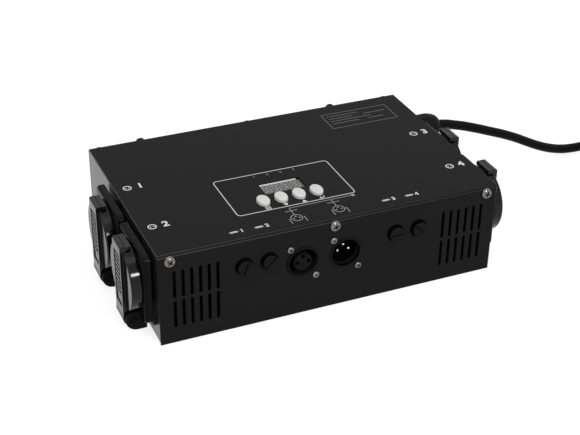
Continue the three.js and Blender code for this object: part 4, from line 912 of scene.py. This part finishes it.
def makeDigitBars(s):
    # one long six-cornered bar, copied to the seven places of a digit
    (long, tall), wide = s["digit"], s["bar"]
    x, y = long / 2, tall / 2
    places = [(0, y, 0), (0, 0, 0), (0, -y, 0)]
    places += [(side * x, level * y / 2, 90) for level in (1, -1) for side in (-1, 1)]
    segment = box(x - 0.3, wide / 2, (s["top"] - 0.3, s["top"] + s["proud"]))
    bevelled(segment, running("Z"), wide * 0.45, 1)
    moves = [shift(digitX + x + y * s["lean"], s["digitY"] + y, 0) @ turnedAbout("Z", turn)
             for digitX in s["digitX"] for x, y, turn in places]
    return joined(copiesOf(segment, moves))


def makeDigitPlates(s):
    halfX, halfY = (size / 2 + s["plateMargin"] for size in s["digit"])
    spans = about(s["digitY"], halfY), (s["top"] - 0.4, s["top"] + s["proud"] / 2)
    return joined([bevelled(box(about(x, halfX), *spans), running("Z"), 1.2, 4) for x in s["digitX"]])


def makeDisplay(s):
    for name, finish, edge in (("body", "socket_plastic", 0.4), ("face", "display_glass", 0.15),
                               ("end", "display_dark", 0.15), ("rim", "key_plastic", 0.15)):
        finished(softened(box(*s[name]), edge), "display_" + name, finish, ["display_module"])
    finished(makeDigitPlates(s), "display_plates", "display_digit", ["display_module"])
    finished(makeDigitBars(s), "display_digits", "display_bar", ["display_module"])


makeDisplay(displaySettings)
print("display made")


# Indicator lamps, domes over the tips of the lamps on the board
lampSettings = {"radius": 1.56, "low": 66, "shoulder": 69.3, "top": 70.5}


def makeLamps(s):
    low, radius = s["low"], s["radius"]
    profile = [(low, 0), (low, radius), *quarterRound(s["shoulder"], radius, s["top"], 0, 8)]
    moves = [shift(x, case["lampY"], 0) for x in case["lampX"]]
    for i, lamp in enumerate(copiesOf(turned(profile, (0, 0, 0), "Z", 32), moves), 1):
        finished(lamp, f"lamp_dome_{i}", "lamp_lens", angle=60)


makeLamps(lampSettings)
print("lamps made")


# Outlets, modelled once with +X out of the side wall as the plane x = 0
outletSettings = {
    "body": [(-24, 0), (-24, 20.4), (-23.4, 21), (2.5, 21), (2.5, 21.2), (12.2, 21.2), (12.55, 21.05),
             (12.7, 20.7), (12.7, 20.1), (12.55, 19.8), (12.3, 19.7), (-4.8, 19.7), (-4.8, 0)],
    "flange": (2, 7.5, 26, 4),  # from, to, half width, corner
    "flangeEdge": 2.2,
    "gasket": (0.2, 2.4, 24, 2),
    "plateHole": 20.9,
    "lug": ((-14.4, -1.4), 5, 19.9, 24),  # along the well, half width, near and far end
    "guide": ((-5, 12.4), 2.5, 17.3, 20),
    "terminals": [(9.5, 0), (-9.5, 0), (0, -12)],
    "terminal": (2.5, 4, (-30, -23.5)),  # half width, half height, from and to
    "contact": (9.5, 2.6, -16.8, -3),  # place, radius, from, to
    "hinge": (11.6, 9.1),
    "cheek": (8.8, 11.3, 16.7),  # inner and outer face, front
    "cheekZ": (0.6, 15.2),
    "cheekRounds": (8.3, 6),  # lower, upper
    "web": (1.8, 13),  # thickness, top
    "pin": [(0, 0), (0, 0.9), (0.25, 1.1), (0.25, 1.6), (0, 1.8), (0.4, 2.1)],  # one end, from its tip
    "pinEnd": 11.9,
    "pinHole": 2.3,
    "through": 20,
    "knuckle": 6,
}
lidSettings = {
    "back": 8,
    "front": 15.1,
    "radius": 24.4,
    "wall": 1.8,
    "face": 2,
    "rounding": 1.2,
    "band": (8.5, 17.3),  # half width, front
    "lip": (9.5, 62.7, 65.7),  # back, foot, top
    "taper": 1.4,
    "panel": (6, 18.0, 58.3, 0.7),  # half width, foot, top, depth
    "rib": (4.5, 1.8, 0.5),  # half width, height, proud
    "ribZ": [26.5 + i * 3.6 for i in range(9)],
    "springSlot": (3.4, 4.6, 15.2),  # half width, radius, top
    "wire": (0.45, 3.3),  # its radius and that of the coil
    "wireTurns": 3.5,
    "wirePitch": 1.35,
    "wireSteps": 20,
    "wireLegs": (6.2, 4.9),
}
outletZ = case["outletZ"]
hingeX, hingeZ = outletSettings["hinge"]


def hingeRod(radius, half, sides=32):
    return rod("Y", radius, (hingeX, hingeZ), -half, half, sides)


def squarePlate(low, high, half, corner):
    return bevelled(box((low, high), half, about(outletZ, half)), running("X"), corner, 5)


def makeHousing(s):
    flange, gasket = squarePlate(*s["flange"]), squarePlate(*s["gasket"])
    low, high = s["flange"][:2]
    bevelled(flange, lambda a, b: min(a.x, b.x) > high - 0.1, s["flangeEdge"], 5)
    for plate in (flange, gasket):
        cutAway(plate, [rod("X", s["plateHole"], (0, outletZ), -1, high + 2, 96)])
    parts = [turned(s["body"], (0, 0, outletZ), "X", 96), flange, gasket]
    for side in (-1, 1):
        along, half, near, far = s["lug"]
        lug = box(along, half, (outletZ + side * near, outletZ + side * far))
        along, half, near, far = s["guide"]
        guide = box(along, (side * near, side * far), about(outletZ, half))
        parts += [softened(lug, 0.4), softened(guide, 0.35)]
    half, tall, along = s["terminal"]
    for y, drop in s["terminals"]:
        parts.append(softened(box(along, about(y, half), about(outletZ + drop, tall)), 0.3))
    inner, outer, front = s["cheek"]
    foot, top = s["cheekZ"]
    lowerRound, upperRound = s["cheekRounds"]
    web, webTop = s["web"]
    parts.append(box((low, low + web), inner + 0.2, (foot, webTop)))
    for side in (-1, 1):
        cheek = box((low, front), (side * inner, side * outer), (foot, top))
        bevelled(cheek, lambda a, b: min(a.x, b.x) > front - 0.1 and max(a.z, b.z) < foot + 0.1,
                 lowerRound, 8)
        bevelled(cheek, lambda a, b: min(a.x, b.x) > front - 0.1 and min(a.z, b.z) > top - 0.1,
                 upperRound, 8)
        cutAway(cheek, [hingeRod(s["pinHole"], s["through"])])
        parts.append(softened(cheek, 0.3))
    y, radius, start, end = s["contact"]
    holes = [rod("X", radius, (side * y, outletZ), start, end, 32) for side in (-1, 1)]
    return cutAway(joined(parts), holes)


def makeLid(s, outlet):
    front, radius, rounding = s["front"], s["radius"], s["rounding"]
    inner, face = radius - s["wall"], front - s["face"]
    cap = turned([(face, 0), (face, inner), (s["back"], inner), (s["back"], radius),
                  *quarterRound(front - rounding, radius, front, radius - rounding, 8), (front, 0)],
                 (0, 0, outletZ), "X", 128)
    half, bandFront = s["band"]
    lipBack, lipFoot, lipTop = s["lip"]
    foot = face + 0.3
    band = box((foot, bandFront), half, (hingeZ, lipTop))
    bevelled(band, lambda a, b: min(a.x, b.x) > foot + 1 and min(a.z, b.z) > lipTop - 0.1, s["taper"], 3)
    lid = fused(cap, [
        band,
        box((lipBack, bandFront - 2), half, (lipFoot, lipTop)),
        box((hingeX, bandFront - 0.5), half, (hingeZ, outletZ - inner + 0.5)),
        hingeRod(outlet["knuckle"], half, 64),
    ])
    slotHalf, slotRadius, slotTop = s["springSlot"]
    panelHalf, panelFoot, panelTop, panelDepth = s["panel"]
    floor = bandFront - panelDepth
    cutAway(lid, [
        hingeRod(outlet["pinHole"], outlet["through"]),
        hingeRod(slotRadius, slotHalf),
        box((0, bandFront - 1.6), slotHalf, (hingeZ, slotTop)),
        bevelled(box((floor, bandFront + 3), panelHalf, (panelFoot, panelTop)), running("X"), 0.8),
    ])
    softened(lid, 0.35, 3, 40)
    half, height, proud = s["rib"]
    rib = softened(box((floor - 0.2, floor + proud), half, height / 2), 0.25)
    return joined([lid, *copiesOf(rib, [shift(0, 0, z) for z in s["ribZ"]])])


def roundWire(name, line, radius, resolution):
    curve = bpy.data.curves.new(name, "CURVE")
    curve.dimensions = "3D"
    curve.bevel_depth = radius
    curve.bevel_resolution = resolution
    curve.use_fill_caps = True
    spline = curve.splines.new("POLY")
    spline.points.add(len(line) - 1)
    for point, place in zip(spline.points, line):
        point.co = (*place, 1)
    spline.use_smooth = True
    return linked(name, curve)


def makeSpring(s):
    wire, radius = s["wire"]
    steps = round(s["wireTurns"] * s["wireSteps"])
    half = s["wireTurns"] * s["wirePitch"] / 2
    longLeg, shortLeg = s["wireLegs"]
    line = [(hingeX - radius, -half, hingeZ + longLeg)]
    for i in range(steps + 1):
        angle = math.pi + i / s["wireSteps"] * 2 * math.pi
        line.append((hingeX + radius * math.cos(angle), -half + i / steps * 2 * half,
                     hingeZ + radius * math.sin(angle)))
    line.append((hingeX + radius, half, hingeZ + shortLeg))
    pickOut(roundWire("spring", [metres(*place) for place in line], wire * mm, 4))
    bpy.ops.object.convert(target="MESH")
    return bpy.context.object


def makeOutlets(s, lids):
    # in the order left rear, left front, right rear, right front
    places = [shift(side * wallX, y, 0) @ turnedAbout("Z", 180 if side < 0 else 0)
              for side in (-1, 1) for y in case["outletY"]]
    end = s["pinEnd"]
    profile = [(a - end, r) for a, r in s["pin"]] + [(end - a, r) for a, r in s["pin"][::-1]]
    pieces = (makeHousing(s), makeLid(lids, s), turned(profile, (hingeX, 0, hingeZ), "Y", 32),
              makeSpring(lids))
    for i, (housing, lid, pin, spring) in enumerate(zip(*(copiesOf(piece, places) for piece in pieces)), 1):
        finished(housing, f"outlet_body_{i}", "outlet_plastic", [f"outlet_housing_{i}"], 35)
        finished(lid, f"spring_lid_{i}", "lid_plastic", [f"outlet_lid_{i}"], 35, f"lid_{i}")
        finished(pin, f"lid_pin_{i}", "outlet_plastic", [f"hinge_pin_{i}"], 35)
        finished(spring, f"spring_{i}", "spring_steel", [f"lid_spring_{i}"], 60)


makeOutlets(outletSettings, lidSettings)
print("outlets made")


# Cable gland on the right wall
glandSettings = {
    "hexagon": (23, 8.5, 0.2, 6.2),  # across, hole, from, to
    "neck": [(-9, 4.15), (-9, 9.4), (-8.6, 9.8), (0.3, 9.8), (0.3, 8.9), (12.2, 8.9), (12.2, 4.15),
             (-9, 4.15)],
    "dome": [(6.5, 9.2), (6.5, 10.6), (13.6, 10.7)],
    "domeEnd": (25.9, 4.9),
    "bore": [(25.9, 4.2), (12.5, 4.2), (12.5, 9.2), (6.5, 9.2)],
    "grips": 12,
    "grip": (1.6, 11.7),  # radius, distance from the middle
    "seal": [(24.6, 4.9), (25.4, 4.75), (25.7, 4.4), (25.7, 3.95), (22, 3.9), (22, 4.9), (24.6, 4.9)],
}


def makeGland(s):
    y, z = case["gland"]
    middle = (wallX, y, z)
    across, bore, low, high = s["hexagon"]
    nut = cutAway(hexagon("X", across, (y, z), wallX + low, wallX + high),
                  [rod("X", bore, (y, z), wallX - 1, wallX + high + 1)])
    neck = joined([turned(s["neck"], middle, "X"), softened(nut, 0.6, 3)])
    finished(neck, "gland_neck", "gland_plastic", ["gland_body"], 40)
    start, straight = s["dome"][0][0], s["dome"][-1]
    dome = turned([*s["dome"], *quarterRound(*straight, *s["domeEnd"], 10)[1:], *s["bore"]], middle, "X", 96)
    radius, reach = s["grip"]
    tools = [rod("X", radius, (y + outY, z + outZ), wallX + start - 1, wallX + straight[0] + 2, 24)
             for outY, outZ in around(s["grips"], reach)]
    softened(cutAway(dome, tools), 0.2, 2, 40)
    finished(dome, "dome", "gland_plastic", ["gland_nut"], 40)
    seal = turned(s["seal"], middle, "X", 48)
    finished(seal, "gland_seal", "plug_plastic", ["gland_nut"], 40)


makeGland(glandSettings)
print("gland made")


# Mains plug, modelled from its cable end towards its pins and then turned to -X
plugSettings = {
    "body": [(0.5, 0), (0.5, 4.5), (0.9, 4.9),
             (2.4, 4.9), (2.6, 5.9), (3.6, 5.9), (3.8, 4.9), (4.8, 4.9), (5, 5.9), (6, 5.9), (6.2, 4.9),
             (7.2, 4.9), (7.4, 5.9), (8.4, 5.9), (8.6, 4.9), (9.6, 4.9), (9.8, 5.9), (12.5, 5.9),
             (12.5, 12.4), (12.9, 13.6), (14, 14.4), (27.3, 17), (27.3, 18.7), (27.8, 19.2), (29.8, 19.2),
             (30.3, 18.7), (30.3, 18.3), (44.6, 18.3), (45.1, 18.1), (45.3, 17.6), (45.3, 0)],
    "reach": 23,
    "grip": (11, 27.3, 13.5),  # from, to, half thickness
    "ridges": [15, 17.6, 20.2, 22.8],
    "ridge": (1.1, 12.6),  # width, floor
    "keyway": (30.3, 15.1, 2.8),  # from, floor, half width
    "screwHole": (3, 1.6),  # radius, depth
    "screw": [(-2, 0), (-2, 2.6), (-0.7, 2.6), (-0.4, 2.3), (-0.4, 0)],
    "screwSlot": (1.1, 0.35),  # depth, half width
    "nose": 45.3,
    "pinY": 9.5,
    "pin": (44.8, 2.4, 64.3),  # from, radius, to
    "strip": (31, 45, 15, 15.7, 2),  # from, to, inner and outer face, half width
}


def makePlug(s, place):
    reach, nose = s["reach"], s["nose"]
    gripFrom, gripTo, gripHalf = s["grip"]
    width, ridgeFloor = s["ridge"]
    keyFrom, keyFloor, keyHalf = s["keyway"]
    radius, depth = s["screwHole"]
    body = turned(s["body"], (0, 0, 0), "X", 96)
    flats, ridges = [], []
    for side in (-1, 1):
        flats.append(box((gripFrom, gripTo), reach, (side * gripHalf, side * reach)))
        flats.append(box((keyFrom, nose + 3), (side * keyFloor, side * reach), keyHalf))
        ridges += [box((x, x + width), reach, (side * ridgeFloor, side * reach)) for x in s["ridges"]]
    cutAway(body, [*flats, rod("X", radius, (0, 0), nose - depth, nose + 3, 32)])
    softened(cutAway(body, ridges), 0.3, 2, 40)
    start, radius, end = s["pin"]
    profile = [(start, 0), (start, radius), *quarterRound(end - radius, radius, end, 0, 6)]
    metal = [turned(profile, (0, side * s["pinY"], 0), "X", 32) for side in (-1, 1)]
    start, end, inner, outer, half = s["strip"]
    metal += [softened(box((start, end), (side * inner, side * outer), half), 0.2) for side in (-1, 1)]
    depth, half = s["screwSlot"]
    head = turned([(nose + x, r) for x, r in s["screw"]], (0, 0, 0), "X", 32)
    metal.append(cutAway(head, [box((nose - depth, nose + 1), 4, half)]))
    move = Matrix.Translation(place) @ turnedAbout("Z", 180)
    pieces = ((body, "plug_body", "plug_plastic"), (joined(metal), "plug_contacts", "contact_metal"))
    return [finished(copiesOf(piece, [move])[0], name, finish, ["mains_plug"], 35)
            for piece, name, finish in pieces]


# Mains lead: the free stretch, the coil and the tail in one. These sizes are in metres
cordSettings = {
    "diameter": 0.0076,
    "y": 0.050,
    "route": [
        (0.151, 0.0516), (0.1592, 0.0503), (0.167, 0.0481), (0.1745, 0.0459), (0.1822, 0.0432),
        (0.1916, 0.0397), (0.2014, 0.0358), (0.2112, 0.032), (0.2193, 0.0285), (0.2275, 0.0247),
        (0.236, 0.0203), (0.246, 0.0152), (0.256, 0.0107), (0.266, 0.0072), (0.276, 0.0049),
        (0.286, 0.00395), (0.297, 0.0038), (0.330, 0.0038),
    ],
    "coilX": 0.338,
    "outerRadius": 0.0535,
    "turnsPerLayer": 2.25,
    "pitch": 0.00815,
    "stepsPerTurn": 40,
    "tail": 0.034,
    "tailSteps": 8,
    "tailRise": 5 / 6,  # share of the tail that climbs
    "tailHeight": 0.0192,
}


def smoothRoute(points, share):
    # Catmull-Rom through the chosen points, with the ends doubled
    line = []
    padded = [points[0], *points, points[-1]]
    for a, b, c, d in zip(padded, padded[1:], padded[2:], padded[3:]):
        for i in range(share):
            t = i / share
            line.append(0.5 * (2 * b + (c - a) * t + (2 * a - 5 * b + 4 * c - d) * t * t
                               + (3 * b - a - 3 * c + d) * t * t * t))
    line.append(points[-1])
    return line


def cordLine(s):
    line = smoothRoute([Vector((x, s["y"], z)) for x, z in s["route"]], 3)
    layer, pitch, perTurn = s["turnsPerLayer"], s["pitch"], s["stepsPerTurn"]
    inner = s["outerRadius"] - layer * pitch
    for i in range(round(2 * layer * perTurn) + 1):
        turns = i / perTurn - layer
        reach = inner + abs(turns) * pitch
        climb = min(max(turns * 2 + 0.5, 0), 1)
        angle = math.pi / 2 - (i / perTurn) * 2 * math.pi
        x = s["coilX"] + reach * math.cos(angle)
        y = s["y"] - s["outerRadius"] + reach * math.sin(angle)
        line.append(Vector((x, y, s["diameter"] / 2 + climb * pitch)))
    last = line[-1].copy()
    for i in range(1, s["tailSteps"] + 1):
        share = i / s["tailSteps"]
        rise = min(share / s["tailRise"], 1)
        rise = rise * rise * (3 - 2 * rise)
        line.append(Vector((last.x - s["tail"] * share, last.y, last.z + (s["tailHeight"] - last.z) * rise)))
    return line


def makeCord(s):
    line = cordLine(s)
    plug = makePlug(plugSettings, line[-1])
    lead = roundWire("mains_lead", line, s["diameter"] / 2, 6)
    lead.data.materials.append(finishes["lead_rubber"])
    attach(lead, "case")
    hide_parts("power_cord", "cord_coil")


makeCord(cordSettings)


# Suspension studs with thread, nut and head
studSettings = {
    "radius": 3.9,
    "root": 3.4,
    "threadFrom": 6.9,
    "pitch": 1.25,
    "tip": 23,
    "end": [(-1.6, 3.4), (-0.7, 2.9), (-0.2, 2.1), (0, 1.2), (0, 0)],  # from the tip
    "across": 13,
    "nut": (0.2, 6.7),
    "head": (-6.7, -1.4),
}


def makeStuds(s):
    start, radius, root, pitch, tip = s["head"][1] - 0.2, s["radius"], s["root"], s["pitch"], s["tip"]
    profile = [(start, 0), (start, radius), (s["threadFrom"], radius)]
    at = s["threadFrom"] + 0.2
    while at + pitch < tip - 1.6:
        profile += [(at, root), (at + pitch * 0.15, root), (at + pitch * 0.5, radius),
                    (at + pitch * 0.65, radius)]
        at += pitch
    stud = turned([*profile, *((tip + x, r) for x, r in s["end"])], (0, 0, 0), "Y", 40)
    stud = joined([stud, *(softened(hexagon("Y", s["across"], (0, 0), *ends), 0.5, 3)
                           for ends in (s["nut"], s["head"]))])
    studs = copiesOf(stud, [shift(x, rearY, case["studZ"]) for x in case["studX"]])
    for name, stud in zip(("left", "right"), studs):
        finished(stud, "stud_" + name, "black_steel", ["suspension_stud_" + name], 30)


makeStuds(studSettings)
print("studs made")


# Print on the top: generic signs and plain numbers in thin light ink
printSettings = {
    "lift": 0.06,
    "foot": 0.2,  # how far the marks go into the sheet
    "frame": ((-59, 28.9), (-52.5, -2), 3, 0.6),  # across, from front to rear, rounding, line
    "plate": ((55, 110), (41, 65), 1, 0.45),
    "rule": 0.5,
    "rules": [(58.5, 84, 60.5), (58.5, 78, 56.5), (88, 106, 56.5), (58.5, 92, 52.5), (58.5, 80, 48.5),
              (88, 101, 48.5)],
    "keySignY": -49.6,
    "keyLine": 0.6,
    "menu": (2, (-1.4, 0, 1.4)),  # half length, places
    "arrow": (2.1, 0.5),  # size, place
    "enter": [((1.8, 1.4), (1.8, -0.6)), ((1.8, -0.6), (-1.8, -0.6)), ((-1.8, -0.6), (-0.6, 0.5)),
              ((-1.8, -0.6), (-0.6, -1.7))],
    "numbers": [("1", -112, 12.5), ("2", -112, -43), ("3", 112, 11.6), ("4", 112, -43.6)],
    "numberSize": 9,
    "socketSign": (-4.2, 3.1, 5.2),  # ring's place and radius, and the number's place
    "socketLine": 0.8,
    "socketHole": (1.1, 0.55),  # place, radius
    "lampNumber": (-6, 3.4),  # place, size
    "fuseNumber": (-70, 2.6, 5.2),  # place along Y and X, size
    "fuseSign": (-3.2, 2.4, 0.9),  # place, half length and half width
    "fuseLine": (0.45, 0.4, 0.8),  # of the body, of the wire, and the length of its ends
}
# A line over the signal sockets that branches to each of them and ends in a dot
routeSettings = {
    "line": 0.45,
    "y": -55,
    "x": (-23, 25),
    "end": 1.4,
    "socketX": (-23, 8.2),
    "cross": (4.2, -58.8),  # half length, place
    "ring": (4.2, -68.4),  # radius, place
    "hole": 0.6,
    "holes": [(-2, -0.3), (0, 1.9), (2, -0.3)],
    "legs": (5.4, 0, -6),  # beside the ring, from and to
}
lift, foot = printSettings["lift"], printSettings["foot"]


def bar(*spans):
    return box(*spans, (topZ - foot, topZ + lift))


def dot(radius, x, y, sides=16):
    return rod("Z", radius, (x, y), topZ - foot, topZ + lift, sides)


def frameRing(spanX, spanY, corner, line):
    outer = bevelled(bar(spanX, spanY), running("Z"), corner, 6)
    inner = box(*((low + line, high - line) for low, high in (spanX, spanY)), about(topZ, 1))
    return cutAway(outer, [bevelled(inner, running("Z"), max(corner - line, 0.2), 6)])


def number(text, x, y, size):
    bpy.ops.object.select_all(action="DESELECT")
    bpy.ops.object.text_add(location=(0, 0, 0))
    label = bpy.context.object.data
    label.body = text
    label.align_x = label.align_y = "CENTER"
    label.size = size * mm
    label.extrude = (lift + 0.1) / 2 * mm
    label.offset = 0.03 * size * mm
    pickOut(bpy.context.object)
    bpy.ops.object.convert(target="MESH")
    bpy.context.object.location = metres(x, y, topZ + (lift - 0.1) / 2)
    return settled()


def stroke(start, end, width, x=0, y=0):
    # a bar of even width from one point to another
    (startX, startY), (endX, endY) = start, end
    half, length = width / 2, math.dist(start, end)
    piece = bar((-half, length + half), half)
    turn = turnedAbout("Z", math.degrees(math.atan2(endY - startY, endX - startX)))
    piece.data.transform(shift(x + startX, y + startY, 0) @ turn)
    return piece


def ringSign(x, y, radius, line):
    low, high, inner = topZ - 0.1, topZ + lift, radius - line
    profile = [(low, inner), (high, inner), (high, radius), (low, radius), (low, inner)]
    return turned(profile, (x, y, 0), "Z", 40)


def makePrint(s):
    marks = [frameRing(*s["frame"])]
    menu, down, up, enter = case["keyX"]
    y, line, (size, offset) = s["keySignY"], s["keyLine"], s["arrow"]
    half, places = s["menu"]
    marks += [bar(about(menu, half), about(y + place, line / 2)) for place in places]
    arrow = dot(size, down, y + offset, 3)
    arrow.data.transform(shift(down, y + offset, 0) @ turnedAbout("Z", 180) @ shift(-down, -y - offset, 0))
    marks += [arrow, dot(size, up, y - offset, 3)]
    marks += [stroke(start, end, line, enter, y) for start, end in s["enter"]]
    y, size = s["lampNumber"]
    labels = [number(str(i), x, y, size) for i, x in enumerate(case["lampX"], 1)]
    finished(joined(labels), "lamp_print", "print_grey")
    y, offset, size = s["fuseNumber"]
    at, halfLong, halfWide = s["fuseSign"]
    body, wire, ends = s["fuseLine"]
    for i, x in enumerate(case["fuseX"], 1):
        left, right = about(x + at, halfLong)
        marks.append(number(str(i), x + offset, y, size))
        marks.append(frameRing((left, right), about(y, halfWide), 0.3, body))
        marks.append(stroke((left - ends, y), (right + ends, y), wire))
    at, radius, numberAt = s["socketSign"]
    apart, holeRadius = s["socketHole"]
    for text, x, y in s["numbers"]:
        marks.append(number(text, x + numberAt, y, s["numberSize"]))
        marks.append(ringSign(x + at, y - 0.2, radius, s["socketLine"]))
        marks += [dot(holeRadius, x + at + side * apart, y - 0.2) for side in (-1, 1)]
    finished(joined(marks), "field_print", "print_ink")


def makeRouteSign(s):
    y, line, (left, right) = s["y"], s["line"], s["x"]
    marks = [stroke((left, y), (right, y), line), dot(s["end"], right, y, 24)]
    cross, crossY = s["cross"]
    ring, ringY = s["ring"]
    beside, start, end = s["legs"]
    for x in s["socketX"]:
        marks.append(stroke((x, y), (x, ringY + ring), line))
        marks.append(stroke((x - cross, crossY), (x + cross, crossY), line))
        marks.append(ringSign(x, ringY, ring, line))
        marks += [stroke((side * beside, start), (side * beside, end), line, x, ringY) for side in (-1, 1)]
        marks += [dot(s["hole"], x + holeX, ringY + holeY) for holeX, holeY in s["holes"]]
    finished(joined(marks), "route_print", "print_soft")


def makePlatePrint(s):
    rules = [stroke((start, y), (end, y), s["rule"]) for start, end, y in s["rules"]]
    finished(joined([frameRing(*s["plate"]), *rules]), "plate_print", "print_grey")


makePrint(printSettings)
makeRouteSign(routeSettings)
makePlatePrint(printSettings)
print("print made")


def dressNodes():
    # nodes that keep their solid from the CAD, and those that a piece stands for
    finishOf = {row["node"]: row["material_slot"] for row in frame["record"]["subparts"]}
    finishOf["power_board"] = "power_laminate"
    for name, node in nodes.items():
        node.data.materials.clear()
        node.data.materials.append(finishes[finishOf[name]])
    print("nodes dressed")


dressNodes()
